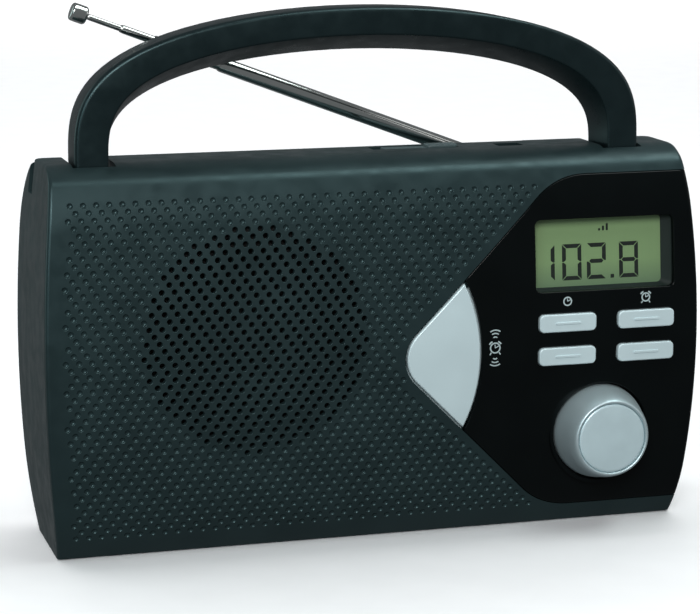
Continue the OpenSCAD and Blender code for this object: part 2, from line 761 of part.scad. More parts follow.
// ---- aerial; drawn level towards -X about its pivot, then lifted ----
module aerial_place() {
  translate([aerial_x, aerial_y, aerial_z]) rotate([0, aerial_lift, 0]) children();
}
fork_r = 3.9;
fork_gap = 1.95;
fork_z = 3.6;
plate_y0 = 10.8 - aerial_y;
plate_y1 = 11.9 - aerial_y;
module aerial_bracket() color(STEEL) {
  difference() {
    block([aerial_x - 7, 6.9, 112], [aerial_x + 7, 8.5, aerial_z + 5]);
    rod_y(aerial_x, aerial_z, 2.52, 0, 15);
  }
}
module aerial_swivel() color(STEEL) {
  aerial_place() difference() {
    union() {
      rod_y(0, 0, 4.2, plate_y0, plate_y1);
      rod_y(0, 0, 2.45, 6.4 - aerial_y, plate_y0);
      rod_y(0, 0, 3.8, 5 - aerial_y, 6.4 - aerial_y);
      for (s = [-1, 1]) translate([0, 0, s * (fork_gap + fork_z) / 2]) {
        block([-3.9, plate_y1, (fork_gap - fork_z) / 2], [3.9, 0, (fork_z - fork_gap) / 2]);
        rod_z(0, 0, fork_r, (fork_gap - fork_z) / 2, (fork_z - fork_gap) / 2);
      }
    }
    rod_z(0, 0, 1.23, -5, 5);
  }
}
module aerial_pin() color(STEEL) {
  aerial_place() rod_z(0, 0, 1.2, -fork_z, fork_z);
}
tube_start = 5;
tube_end = 106;
SECTION_R = [2.6, 2.2, 1.8, 1.4, 1];
SECTION_L = [tube_end - tube_start, 96, 94, 92, 90];
bore_wall = 0.3;
module aerial_tube() color(STEEL) {
  aerial_place() difference() {
    union() {
      rod_x(0, 0, SECTION_R[0], -tube_end, -tube_start);
      // flat tongue that turns in the fork
      block([-tube_start - 0.5, -2, -1.85], [0, 2, 1.85]);
      rod_z(0, 0, 3.3, -1.85, 1.85);
    }
    rod_x(0, 0, SECTION_R[0] - bore_wall, -tube_end - 1, -8.5);
    rod_z(0, 0, 1.26, -5, 5);
  }
}
module aerial_section(i) {
  outer = -tube_end - aerial_step * i;
  aerial_place() difference() {
    rod_x(0, 0, SECTION_R[i], outer, outer + SECTION_L[i]);
    if (i < 4) rod_x(0, 0, SECTION_R[i] - bore_wall, outer - 1, outer + SECTION_L[i] + 1);
  }
}
module aerial_section_1() color(STEEL) aerial_section(1);
module aerial_section_2() color(STEEL) aerial_section(2);
module aerial_section_3() color(STEEL) aerial_section(3);
module aerial_section_4() color(STEEL) aerial_section(4);
module aerial_tip() color(STEEL) {
  outer = -tube_end - aerial_step * 4;
  aerial_place() rotate([0, -90, 0]) translate([0, 0, -outer]) rotate_extrude() polygon([
    [0, 0], [2.2, 0], [3.05, 0.8], [3.05, 4.9], [2.5, 5.7], [0, 5.7]]);
}

front_cabinet();
rear_cabinet();
control_fascia();
display_window();
lcd_panel();
lcd_holder();
key_board();
key_switches();
main_board();
board_components();
ferrite_rod();
ferrite_coil();
ferrite_clips();
tuning_capacitor();
speaker_gasket();
speaker_frame();
speaker_magnet();
speaker_cone();
speaker_surround();
speaker_dust_cap();
speaker_screws();
mains_transformer();
transformer_coil();
mains_inlet();
inlet_pins();
headphone_jack();
volume_control();
function_switch();
band_switch();
battery_contacts();
battery_springs();
battery_cells();
cabinet_screws();
board_screws();
foot_pads();
handle_pivots();
aerial_bracket();
carry_handle();
tuning_knob();
knob_insert();
tuning_shaft();
snooze_button();
clock_key();
alarm_key();
hour_key();
minute_key();
volume_wheel();
function_slider();
band_slider();
battery_door();
aerial_swivel();
aerial_pin();
aerial_tube();
aerial_section_1();
aerial_section_2();
aerial_section_3();
aerial_section_4();
aerial_tip();
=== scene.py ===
"""Looks of a portable clock radio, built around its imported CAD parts.

Shapes are worked out in millimetres in the row frame (X right, Y to the rear, Z up, origin on the
resting plane) and become metres when they turn into Blender objects.
"""

import math

import bpy
import numpy as np
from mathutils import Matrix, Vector
from mathutils.geometry import delaunay_2d_cdt


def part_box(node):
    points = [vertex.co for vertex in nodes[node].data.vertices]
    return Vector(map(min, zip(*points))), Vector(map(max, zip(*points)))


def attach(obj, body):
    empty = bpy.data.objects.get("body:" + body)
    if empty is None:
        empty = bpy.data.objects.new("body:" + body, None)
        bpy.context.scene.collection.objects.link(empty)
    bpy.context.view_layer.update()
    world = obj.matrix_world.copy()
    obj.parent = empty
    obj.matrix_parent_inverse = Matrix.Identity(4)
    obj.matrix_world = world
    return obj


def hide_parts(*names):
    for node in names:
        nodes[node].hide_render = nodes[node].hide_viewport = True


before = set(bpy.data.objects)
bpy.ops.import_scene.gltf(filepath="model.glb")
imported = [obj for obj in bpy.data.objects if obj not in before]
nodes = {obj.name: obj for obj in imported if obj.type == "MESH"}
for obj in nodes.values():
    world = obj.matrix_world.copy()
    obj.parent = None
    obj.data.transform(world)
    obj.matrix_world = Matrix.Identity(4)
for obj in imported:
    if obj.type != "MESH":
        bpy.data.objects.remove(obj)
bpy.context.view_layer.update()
MM = 0.001
FAR = 200.0


def span(node):
    """Lowest and highest corner of a CAD node, in millimetres."""
    low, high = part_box(node)
    return np.array(low) / MM, np.array(high) / MM


# ---------------------------------------------------------------- cabinet surface
BODY_LOW, BODY_HIGH = span("rear_cabinet")
FRONT_LOW, FRONT_HIGH = span("front_cabinet")
TOP = round(BODY_HIGH[2], 2)
BASE = round(BODY_LOW[2], 2)
REAR = round(BODY_HIGH[1], 2) - 1
FRONT = round(FRONT_LOW[1], 2)
HALF = round(BODY_HIGH[0], 2)
PART = round(FRONT_HIGH[1], 2)
WALL = 2.4
BOW_Z, BOW_R = 66, 307
ENDS_Z, ENDS_R = 65, 503
CURL, CURL_FROM = 0.0115, 45
ROLL_R, ROLL_Y = 16.5, FRONT + 20
SHOULDER_R, FOOT_R, FOOT_Z = 26, 46.4, 30
EDGE_FRONT, EDGE_REAR, EDGE_TOP = 1.3, 2.6, 1.2
KNOB_LOW, KNOB_HIGH = span("tuning_knob")
KNOB_X, KNOB_Z = (KNOB_LOW[0] + KNOB_HIGH[0]) / 2, (KNOB_LOW[2] + KNOB_HIGH[2]) / 2
KNOB_R = (KNOB_HIGH[0] - KNOB_LOW[0]) / 2


def front_at(z, depth=0.0):
    """Y of the front surface at height z, drawn in by depth: a bow that runs into the rolled top edge."""
    z = np.asarray(z, float)
    bow = FRONT + depth + (z - BOW_Z) ** 2 / 2 / BOW_R
    bow = bow + CURL * np.maximum(0, np.abs(z - ENDS_Z) - CURL_FROM) ** 2
    drop = np.maximum(0, (ROLL_R - depth) ** 2 - (z - TOP + ROLL_R) ** 2)
    roll = np.where(z > TOP - ROLL_R + 5, ROLL_Y - np.sqrt(drop), -FAR)
    soft = 0.6
    near = np.maximum(soft - np.abs(bow - roll), 0) / soft
    return np.maximum(bow, roll) + near * near * soft / 4


def rear_at(z, depth=0.0):
    """Y of the rear surface at height z: a shoulder above, a flat back, and a long curve to the foot."""
    z = np.asarray(z, float)
    up = np.maximum(0, (SHOULDER_R - depth) ** 2 - (z - TOP + SHOULDER_R) ** 2)
    low = np.maximum(0, (FOOT_R - depth) ** 2 - (FOOT_Z - z) ** 2)
    y = np.full(z.shape, REAR - depth)
    y = np.where(z > TOP - SHOULDER_R, REAR - SHOULDER_R + np.sqrt(up), y)
    return np.where(z < FOOT_Z, REAR - FOOT_R + np.sqrt(low), y)


def half_at(z, depth=0.0):
    """Half width of the cabinet at height z, with a small radius along the top edge."""
    z = np.asarray(z, float)
    start = TOP - depth - EDGE_TOP
    over = np.clip(z - start, 0, EDGE_TOP)
    edge = EDGE_TOP - np.sqrt(EDGE_TOP**2 - over**2)
    return HALF - (z - ENDS_Z) ** 2 / 2 / ENDS_R - depth - edge


def body_field(p):
    """Signed distance, near enough, from points p to the outer surface of the closed cabinet."""
    x, y, z = p.T
    front, rear, half = front_at(z), rear_at(z), half_at(z)
    middle = (front + rear) / 2
    edge = np.where(y < middle, EDGE_FRONT, EDGE_REAR)
    a = np.abs(x) - half + edge
    b = np.abs(y - middle) - (rear - front) / 2 + edge
    outside = np.hypot(np.maximum(a, 0), np.maximum(b, 0))
    return outside + np.minimum(np.maximum(a, b), 0) - edge


# ---------------------------------------------------------------- forms: (points, faces) in millimetres
def joined(*forms):
    points, faces, start = [], [], 0
    for p, f in forms:
        points.append(np.asarray(p, float))
        faces += [[i + start for i in face] for face in f]
        start += len(p)
    return np.vstack(points), faces


def loft(rings, closed=False):
    """A solid through rings of equal point counts, each counterclockwise about the way it travels."""
    n, count = len(rings[0]), len(rings)
    faces = []
    for k in range(count if closed else count - 1):
        a, b = k * n, (k + 1) % count * n
        faces += [[a + i, a + (i + 1) % n, b + (i + 1) % n, b + i] for i in range(n)]
    if not closed:
        faces += [list(range(n))[::-1], list(range((count - 1) * n, count * n))]
    return np.vstack(rings), faces


def ccw(points):
    """An outline's points, turned round if they run clockwise."""
    points = np.asarray(points, float)
    after = np.roll(points, -1, 0)
    area = np.sum(points[:, 0] * after[:, 1] - after[:, 0] * points[:, 1])
    return points if area > 0 else points[::-1]


AXES = {"x": (1, 2, 0), "y": (2, 0, 1), "z": (0, 1, 2)}


def prism(outline, axis, start, end):
    """An outline extruded along an axis. The outline's two coordinates are (y, z), (z, x) or (x, y)."""
    u, v, w = AXES[axis]
    outline = ccw(outline)
    rings = []
    for level in (start, end):
        ring = np.empty((len(outline), 3))
        ring[:, u], ring[:, v], ring[:, w] = outline[:, 0], outline[:, 1], level
        rings.append(ring)
    return loft(rings)


def across(outline, start, end):
    """An outline drawn in x and z, extruded from y = start to y = end."""
    return prism(np.asarray(outline)[:, ::-1], "y", start, end)


def block(low, high):
    (x0, y0, z0), (x1, y1, z1) = low, high
    return prism([(x0, y0), (x1, y0), (x1, y1), (x0, y1)], "z", z0, z1)


def basis(direction):
    """Three unit directions at right angles, the last along direction."""
    w = np.asarray(direction, float) / np.linalg.norm(direction)
    u = np.cross([0, 0, 1] if abs(w[2]) < 0.9 else [0, 1, 0], w)
    u /= np.linalg.norm(u)
    return u, np.cross(w, u), w


def turned(profile, origin, direction, sides=48, closed=False):
    """A profile of (radius, height) turned about a line. Heights count along direction from origin."""
    u, v, w = basis(direction)
    angle = np.arange(sides) * 2 * np.pi / sides
    circle = np.outer(np.cos(angle), u) + np.outer(np.sin(angle), v)
    rings = [np.asarray(origin) + max(r, 1e-3) * circle + h * w for r, h in profile]
    return loft(rings, closed)


def rod(origin, direction, radius, start, end, sides=40, edge=0.0):
    """A round bar along a line, with its two end edges rounded."""
    if not edge:
        return turned([(radius, start), (radius, end)], origin, direction, sides)
    steps = [math.radians(a) for a in (0, 30, 60, 90)]
    low = [(radius - edge + edge * math.sin(a), start + edge - edge * math.cos(a)) for a in steps]
    high = [(radius - edge + edge * math.cos(a), end - edge + edge * math.sin(a)) for a in steps]
    return turned(low + high, origin, direction, sides)


def rounded(x0, y0, x1, y1, r, n=5):
    """A rectangle with round corners, counterclockwise. r is one radius or four, from the lower left on."""
    radii = [r] * 4 if np.isscalar(r) else r
    corners = [(x0, y0, 1, 1, 180), (x1, y0, -1, 1, 270), (x1, y1, -1, -1, 0), (x0, y1, 1, -1, 90)]
    points = []
    for (x, y, sx, sy, turn), q in zip(corners, radii):
        for a in np.radians(turn + np.linspace(0, 90, n + 1)):
            points.append((x + sx * q + q * math.cos(a), y + sy * q + q * math.sin(a)))
    return np.array(points)


def pegs(places, radius, start, end, sides=24, edge=0.0):
    """A round bar along Y at each (x, z) of places, as one form."""
    return joined(*[rod([x, 0, z], [0, 1, 0], radius, start, end, sides, edge) for x, z in places])


def facing(low, high, gap, corner, n=5):
    """The outline of a part's box seen from the front, grown by gap, with round corners."""
    return rounded(low[0] - gap, low[2] - gap, high[0] + gap, high[2] + gap, corner, n)


def soft_block(low, high, edge, corner=None, n=3):
    """A block whose every edge is rounded, lofted along Z."""
    corner = max(corner or edge, edge + 0.02)
    rings = []
    steps = np.radians(np.linspace(0, 90, n + 1))
    ends = [(edge * (1 - math.sin(a)), low[2] + edge * (1 - math.cos(a))) for a in steps]
    ends += [(edge * (1 - math.cos(a)), high[2] - edge * (1 - math.sin(a))) for a in steps]
    for inset, z in ends:
        flat = rounded(low[0] + inset, low[1] + inset, high[0] - inset, high[1] - inset, corner - inset, n)
        rings.append(np.column_stack([flat, np.full(len(flat), z)]))
    return loft(rings)


def mesh_of(name, points, faces):
    mesh = bpy.data.meshes.new(name)
    mesh.from_pydata(np.asarray(points, float).tolist(), [], faces)
    mesh.update()
    return mesh


def linked(name, data):
    """A new object in the scene."""
    obj = bpy.data.objects.new(name, data)
    bpy.context.scene.collection.objects.link(obj)
    return obj


def read(items, attribute, width=1, kind=float):
    """An attribute of every item of a mesh, as an array with one row for each."""
    data = np.empty(len(items) * width, kind)
    items.foreach_get(attribute, data)
    return data.reshape(-1, width) if width > 1 else data


def carved(base, *steps):
    """base after boolean steps, each ("DIFFERENCE", "UNION" or "INTERSECT", form)."""
    work = [linked("form", mesh_of("form", *form)) for form in (base, *[form for _, form in steps])]
    for (operation, _), tool in zip(steps, work[1:]):
        modifier = work[0].modifiers.new("step", "BOOLEAN")
        modifier.solver = "MANIFOLD"
        modifier.operation = operation
        modifier.object = tool
    bpy.context.view_layer.update()
    graph = bpy.context.evaluated_depsgraph_get()
    mesh = bpy.data.meshes.new_from_object(work[0].evaluated_get(graph))
    points = read(mesh.vertices, "co", 3)
    faces = [list(p.vertices) for p in mesh.polygons]
    bpy.data.meshes.remove(mesh)
    for obj in work:
        data = obj.data
        bpy.data.objects.remove(obj)
        bpy.data.meshes.remove(data)
    return points, faces


def cut(base, *tools):
    return carved(base, *[("DIFFERENCE", t) for t in tools])


def common(base, *tools):
    return carved(base, *[("INTERSECT", t) for t in tools])


# ---------------------------------------------------------------- plates that follow a surface
def inside(points, loops):
    """Whether each point lies inside an odd number of loops."""
    x, y = points[:, 0, None], points[:, 1, None]
    odd = np.zeros(len(points), bool)
    for loop in loops:
        a, b = loop, np.roll(loop, -1, 0)
        crosses = (a[:, 1] > y) != (b[:, 1] > y)
        with np.errstate(divide="ignore", invalid="ignore"):
            at = a[:, 0] + (y - a[:, 1]) * (b[:, 0] - a[:, 0]) / (b[:, 1] - a[:, 1])
        odd ^= (np.sum(crosses & (x < at), 1) % 2).astype(bool)
    return odd


def filled(loops, grid):
    """All points, those of the loops first and then a grid inside, and the triangles between them."""
    outline = np.vstack(loops)
    extra = np.empty((0, 2))
    if grid:
        low, high = outline.min(0), outline.max(0)
        xs, ys = np.arange(low[0] + grid, high[0], grid * 2), np.arange(low[1] + grid / 2, high[1], grid)
        extra = np.array([(x, y) for y in ys for x in xs])
        near = np.array([np.min(np.hypot(*(outline - p).T)) > grid * 0.45 for p in extra])
        extra = extra[near & inside(extra, loops)]
    points = np.vstack([outline, extra])
    edges, start = [], 0
    for loop in loops:
        n = len(loop)
        edges += [(start + i, start + (i + 1) % n) for i in range(n)]
        start += n
    out = delaunay_2d_cdt([Vector(p) for p in points], edges, [], 0, 1e-6)
    index = [origin[0] for origin in out[3]]
    triangles = np.array([[index[i] for i in t] for t in out[2]])
    keep = inside(points[triangles].mean(1), loops)
    return points, triangles[keep]


def sideways(loop):
    """Outward unit directions at the corners of a counterclockwise loop."""
    step = np.roll(loop, -1, 0) - loop
    step /= np.maximum(np.linalg.norm(step, axis=1), 1e-9)[:, None]
    normal = np.column_stack([step[:, 1], -step[:, 0]])
    both = normal + np.roll(normal, 1, 0)
    length = np.maximum(np.sum(both * both, 1) / 2, 0.5)
    return both / length[:, None]


def surface(x, z):
    """Y and outward normal of the cabinet front at (x, z)."""
    z = np.asarray(z, float)
    slope = (front_at(z + 0.1) - front_at(z - 0.1)) / 0.2
    normal = np.column_stack([np.zeros(len(z)), -np.ones(len(z)), slope])
    return front_at(z), normal / np.linalg.norm(normal, axis=1)[:, None]


def plate(loops, top, thickness, rim=0.3, steps=3, grid=3.0, ground=surface):
    """A sheet cut to loops (the outline first, then holes, all counterclockwise in x and z), whose face
    stands at depth top behind ground and has rounded edges. Returns points, faces and face-corner normals."""
    rings = []
    for k in range(steps + 2):
        angle = min(k / steps, 1) * math.pi / 2
        level = []
        for i, loop in enumerate(loops):
            side = sideways(loop) * (1 if i == 0 else -1)
            inset = rim if np.isscalar(rim) else rim[i]
            inset = np.broadcast_to(inset, len(loop))[:, None]
            flat = loop - side * inset * (1 - math.sin(angle))
            depth = top + inset[:, 0] * (1 - math.cos(angle))
            if k > steps:
                depth = np.full(len(loop), top + thickness)
            y, normal = ground(flat[:, 0], flat[:, 1])
            unit = side / np.linalg.norm(side, axis=1)[:, None]
            outward = np.column_stack([unit[:, 0], np.zeros(len(loop)), unit[:, 1]])
            blend = normal * math.cos(angle) + outward * math.sin(angle)
            level.append((flat, y + depth, blend, outward, -normal))
        rings.append([np.concatenate(part) for part in zip(*level)])
    sizes = [len(loop) for loop in loops]
    total = sum(sizes)
    points, faces, corners = [], [], []

    def add(face, normals):
        faces.append(face)
        corners.append(normals)

    for flat, y, *_ in rings:
        points.append(np.column_stack([flat[:, 0], y, flat[:, 1]]))
    points = list(np.vstack(points))
    for k in range(steps + 1):
        start = 0
        for size in sizes:
            for i in range(size):
                a, b = start + i, start + (i + 1) % size
                quad = [k * total + a, k * total + b, (k + 1) * total + b, (k + 1) * total + a]
                if k < steps:
                    shade = [rings[k][2][a], rings[k][2][b], rings[k + 1][2][b], rings[k + 1][2][a]]
                else:
                    shade = [rings[k][3][a], rings[k][3][b], rings[k][3][b], rings[k][3][a]]
                add(quad, shade)
            start += size
    for level, column, depth in ((0, 2, top), (steps + 1, 4, top + thickness)):
        flat = rings[level][0]
        edges = np.split(flat, np.cumsum(sizes)[:-1])
        inner, triangles = filled(edges, grid)
        extra = inner[total:]
        start = len(points) - total
        normals = rings[level][column]
        if len(extra):
            y, normal = ground(extra[:, 0], extra[:, 1])
            points += list(np.column_stack([extra[:, 0], y + depth, extra[:, 1]]))
            normals = np.vstack([normals, normal if column == 2 else -normal])
        for triangle in triangles:
            face = [level * total + i if i < total else start + i for i in triangle]
            add(face, [normals[i] for i in triangle])
    points = np.array(points)
    for i, face in enumerate(faces):
        p = points[face]
        area = sum(np.cross(p[j] - p[0], p[j + 1] - p[0]) for j in range(1, len(p) - 1))
        if np.dot(area, np.sum(corners[i], 0)) < 0:
            faces[i] = face[::-1]
            corners[i] = corners[i][::-1]
    return points, faces, np.array([n for normals in corners for n in normals])


def joined_plates(*plates):
    points, faces = joined(*[(p, f) for p, f, _ in plates])
    return points, faces, np.vstack([n for _, _, n in plates])


# ---------------------------------------------------------------- objects
def unshaded(form):
    """A plain form as a plate, its corner normals left to Blender."""
    return form[0], form[1], np.zeros((sum(len(f) for f in form[1]), 3))


def make(name, form, material, body="radio", replaces=(), field=None, sharp=38):
    """Turns a form into a shown piece that rides on a body."""
    mesh = mesh_of(name, np.asarray(form[0]) * MM, form[1])
    mesh.shade_smooth()
    mesh.set_sharp_from_angle(angle=math.radians(sharp))
    corners = form[2] if len(form) > 2 else None
    if field is not None:
        corners = field_normals(mesh, field)
    if corners is not None:
        mesh.normals_split_custom_set(corners.tolist())
    mesh.materials.append(material)
    obj = linked(name, mesh)
    if replaces:
        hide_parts(*replaces)
    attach(obj, body)
    return obj


def field_normals(mesh, field, reach=0.04, turn=0.85):
    """Corner normals from a surface's field where a face lies on that surface, and none elsewhere."""
    vertex = read(mesh.loops, "vertex_index", kind=np.int64)
    co = read(mesh.vertices, "co", 3) / MM
    sizes = read(mesh.polygons, "loop_total", kind=np.int64)
    flat = np.repeat(read(mesh.polygons, "normal", 3), sizes, 0)
    step = 0.02
    gradient = np.empty((len(co), 3))
    for axis in range(3):
        shift = np.zeros(3)
        shift[axis] = step
        gradient[:, axis] = field(co + shift) - field(co - shift)
    gradient /= np.maximum(np.linalg.norm(gradient, axis=1), 1e-9)[:, None]
    on = (np.abs(field(co)) < reach)[vertex]
    smooth = gradient[vertex]
    on &= np.sum(smooth * flat, 1) > turn
    return np.where(on[:, None], smooth, 0)


# ---------------------------------------------------------------- materials
def graph_of(name):
    material = bpy.data.materials.new(name)
    material.use_nodes = True
    tree = material.node_tree
    return material, tree, tree.nodes["Principled BSDF"]


def set_inputs(node, values):
    """Sets a node's sockets by name, with underscores for spaces."""
    for socket, value in values.items():
        node.inputs[socket.replace("_", " ")].default_value = value


def add(tree, kind, sources, **values):
    """A shader node of a kind, with sockets linked from sources and others set to values."""
    node = tree.nodes.new("ShaderNode" + kind)
    set_inputs(node, values)
    for socket, source in sources.items():
        tree.links.new(source, node.inputs[socket])
    return node


def mapped(tree, **values):
    """Object coordinates through a mapping."""
    place = add(tree, "TexCoord", {}).outputs["Object"]
    return add(tree, "Mapping", {"Vector": place}, **values).outputs["Vector"]


def noise(tree, size, detail=3.0, stretch=(1, 1, 1)):
    """A noise pattern whose features measure about size millimetres, drawn out along the stretched axes."""
    place = mapped(tree, Scale=[1 / s for s in stretch])
    return add(tree, "TexNoise", {"Vector": place}, Scale=1 / (size * MM), Detail=detail).outputs["Fac"]


def ramp(tree, value, low, high, start=0.35, end=0.65):
    """Maps a pattern from start..end onto low..high, which are two numbers or two colours."""
    if np.isscalar(low):
        ends = {"From_Min": start, "From_Max": end, "To_Min": low, "To_Max": high}
        return add(tree, "MapRange", {"Value": value}, **ends).outputs["Result"]
    node = add(tree, "ValToRGB", {"Fac": value})
    for element, at, colour in zip(node.color_ramp.elements, (start, end), (low, high)):
        element.position = at
        element.color = (*colour, 1)
    return node.outputs["Color"]


def dress(tree, bsdf, colour, roughness, *bumps):
    """Links a surface's colour and roughness and stacks its bumps, each (pattern, strength, height in mm)."""
    if colour is not None:
        tree.links.new(colour, bsdf.inputs["Base Color"])
    tree.links.new(roughness, bsdf.inputs["Roughness"])
    below = {}
    for pattern, strength, height in bumps:
        node = add(tree, "Bump", {"Height": pattern, **below}, Strength=strength, Distance=height * MM)
        below = {"Normal": node.outputs["Normal"]}
    tree.links.new(below["Normal"], bsdf.inputs["Normal"])


def finish(name, colour, roughness, grain=0.12, height=0.01, spread=0.06, shade=0.12, metallic=0.0,
           specular=0.5, coat=0.0, stretch=(1, 1, 1), tint=(1, 1, 1)):
    """A moulded, painted or drawn surface: fine grain in its bump, slow changes in its gloss and colour."""
    material, tree, bsdf = graph_of(name)
    low = [c * (1 - shade) for c in colour]
    high = [min(1, c * (1 + shade)) for c in colour]
    slow = ramp(tree, noise(tree, 22, 2), low, high)
    gloss = ramp(tree, noise(tree, 6, 4, stretch), roughness - spread, roughness + spread)
    dress(tree, bsdf, slow, gloss, (noise(tree, grain, 2, stretch), 0.35, height))
    set_inputs(bsdf, {"Metallic": metallic, "Specular IOR Level": specular, "Specular Tint": (*tint, 1),
                      "Coat Weight": coat, "Coat Roughness": 0.1})
    return material


def spun(name, colour, roughness, axis_x, axis_z, metallic, pitch=0.35):
    """Metallic finish with fine rings turned about an axis that runs front to back."""
    material, tree, bsdf = graph_of(name)
    place = mapped(tree, Location=(-axis_x * MM, 0, -axis_z * MM), Scale=(1, 0, 1))
    rings = add(tree, "TexWave", {"Vector": place}, Scale=0.314 / (pitch * MM), Distortion=0.4)
    rings.wave_type = "RINGS"
    rings.rings_direction = "SPHERICAL"
    fine = noise(tree, 0.1, 2)
    slow = ramp(tree, noise(tree, 9, 2), [c * 0.93 for c in colour], colour)
    dress(tree, bsdf, slow, ramp(tree, fine, roughness - 0.05, roughness + 0.05),
          (rings.outputs["Fac"], 0.12, 0.01), (fine, 0.2, 0.005))
    set_inputs(bsdf, {"Metallic": metallic})
    return material


def banded(name, axis, low, high, from_mm, to_mm, roughness, grain):
    """A surface whose colour changes along one axis between two places, with a fine grain."""
    material, tree, bsdf = graph_of(name)
    split = add(tree, "SeparateXYZ", {"Vector": add(tree, "TexCoord", {}).outputs["Object"]})
    level = ramp(tree, split.outputs[axis], 0, 1, from_mm * MM, to_mm * MM)
    fine = noise(tree, grain, 3)
    dress(tree, bsdf, ramp(tree, level, low, high, 0, 1),
          ramp(tree, fine, roughness - 0.05, roughness + 0.05), (fine, 0.2, 0.01))
    return material


def board_finish():
    """Green solder mask over a rectangular pattern of traces."""
    material, tree, bsdf = graph_of("printed_board")
    place = mapped(tree, Rotation=(math.pi / 2, 0, 0))
    tracks = add(tree, "TexBrick", {"Vector": place}, Scale=1 / (4 * MM), Mortar_Size=0.05,
                 Color1=(0.02, 0.11, 0.045, 1), Color2=(0.022, 0.13, 0.05, 1), Mortar=(0.07, 0.26, 0.09, 1))
    fine = noise(tree, 0.5, 2)
    dress(tree, bsdf, tracks.outputs["Color"], ramp(tree, fine, 0.28, 0.42),
          (tracks.outputs["Fac"], 0.4, 0.04), (fine, 0.2, 0.01))
    return material


def clear_finish():
    """Clear plastic over the display, nearly see-through."""
    material, tree, bsdf = graph_of("clear_acrylic")
    fine = noise(tree, 3, 2)
    dress(tree, bsdf, None, ramp(tree, fine, 0.03, 0.07), (fine, 0.02, 0.01))
    set_inputs(bsdf, {"Base Color": (0.03, 0.04, 0.035, 1), "Alpha": 0.1})
    return material


DARK = (0.0125, 0.0225, 0.024)
TEAL = (0.62, 0.96, 1.0)
cabinet_finish = finish("cabinet_plastic", DARK, 0.36, grain=0.16, height=0.006, tint=TEAL)
handle_finish = finish("handle_plastic", (0.0045, 0.0085, 0.0095), 0.32, grain=0.14, height=0.005, tint=TEAL)
gloss_finish = finish("gloss_black", (0.0022, 0.0034, 0.0036), 0.13, grain=0.5, height=0.0015,
                      spread=0.03, specular=0.14)
silver_finish = finish("silver_paint", (0.66, 0.80, 0.83), 0.36, grain=0.07, height=0.004, shade=0.03,
                       metallic=0.15)
knob_finish = finish("silver_knob", (0.56, 0.68, 0.71), 0.42, grain=0.07, height=0.001, spread=0.02,
                     shade=0.03, metallic=0.65)
insert_finish = spun("spun_silver", (0.66, 0.82, 0.86), 0.36, KNOB_X, KNOB_Z, metallic=0.3)
print_finish = finish("white_print", (0.45, 0.55, 0.56), 0.5, grain=0.1, height=0.004, shade=0.05)
cream_finish = finish("cream_plastic", (0.62, 0.60, 0.52), 0.42, grain=0.15, height=0.006)
black_finish = finish("black_plastic", (0.012, 0.014, 0.015), 0.42, grain=0.15, height=0.008)
steel_finish = finish("zinc_steel", (0.55, 0.56, 0.56), 0.32, grain=0.2, height=0.006, metallic=1.0,
                      shade=0.08)
chrome_finish = finish("drawn_chrome", (0.66, 0.68, 0.66), 0.14, grain=0.05, height=0.002, spread=0.04,
                       metallic=1.0, shade=0.05, stretch=(12, 1, 1))
brass_finish = finish("turned_brass", (0.60, 0.42, 0.14), 0.28, grain=0.1, height=0.004, metallic=1.0)
copper_finish = finish("copper_wire", (0.52, 0.20, 0.07), 0.3, grain=0.25, height=0.05, metallic=1.0,
                       stretch=(0.4, 8, 8))
core_finish = finish("laminated_core", (0.16, 0.165, 0.17), 0.45, grain=0.3, height=0.03, metallic=0.8,
                     stretch=(9, 0.5, 9))
basket_finish = finish("pressed_basket", (0.24, 0.25, 0.26), 0.4, grain=0.3, height=0.01, metallic=0.9)
paper_finish = finish("pressed_paper", (0.018, 0.019, 0.02), 0.78, grain=0.4, height=0.05, shade=0.25)
rubber_finish = finish("rubber", (0.014, 0.014, 0.015), 0.72, grain=0.25, height=0.02, shade=0.2)
ferrite_finish = finish("ferrite", (0.03, 0.03, 0.034), 0.55, grain=0.3, height=0.03, shade=0.25)
battery_finish = finish("battery_sleeve", (0.05, 0.12, 0.27), 0.3, grain=0.6, height=0.004, coat=0.3)
# the display's colour darkens towards its bottom edge, from z 84 down: a painted shadow of the window's frame
lcd_painted_shadow = banded("liquid_crystal_painted_shadow", "Z", (0.20, 0.32, 0.175), (0.31, 0.475, 0.22), 84, 92, 0.42, 0.25)
digit_finish = finish("display_ink", (0.004, 0.010, 0.006), 0.55, grain=0.2, height=0.002)
holder_finish = finish("display_frame", (0.014, 0.024, 0.021), 0.5, grain=0.2, height=0.004, specular=0.2)
board_green = board_finish()
clear = clear_finish()


# ---------------------------------------------------------------- outlines on the front
FASCIA_TOP, FASCIA_LOW = 122, 6.8
TIP_X, TIP_Z, TIP_R = 2.4, 62.8, 12
ELBOW_R = 26
ZONE_X, ZONE_R = -23.5, 57.7
GRILLE_X, GRILLE_Z, GRILLE_R = -43.4, 72.3, 37.9
HOLE_R = 0.95
WINDOW = (53.5, 82.9, 103.5, 107.2)


def fillet(a, p, b, r, n=10):
    """Corner p between points a and b, rounded to radius r."""
    a, p, b = (np.asarray(q, float) for q in (a, p, b))
    u, v = (a - p) / np.linalg.norm(a - p), (b - p) / np.linalg.norm(b - p)
    half = math.acos(u @ v) / 2
    centre = p + (u + v) / np.linalg.norm(u + v) * r / math.sin(half)
    start, end = p + u * r / math.tan(half) - centre, p + v * r / math.tan(half) - centre
    first = math.atan2(start[1], start[0])
    turn = (math.atan2(end[1], end[0]) - first + math.pi) % (2 * math.pi) - math.pi
    return [centre + r * np.array([math.cos(first + turn * t), math.sin(first + turn * t)])
            for t in np.linspace(0, 1, n + 1)]


def dense(points, step=2.5):
    """The same closed outline with no edge longer than step."""
    out = []
    for a, b in zip(points, list(points[1:]) + [points[0]]):
        a, b = np.asarray(a, float), np.asarray(b, float)
        n = max(1, math.ceil(np.linalg.norm(b - a) / step))
        out += [a + (b - a) * i / n for i in range(n)]
    return np.array(out)


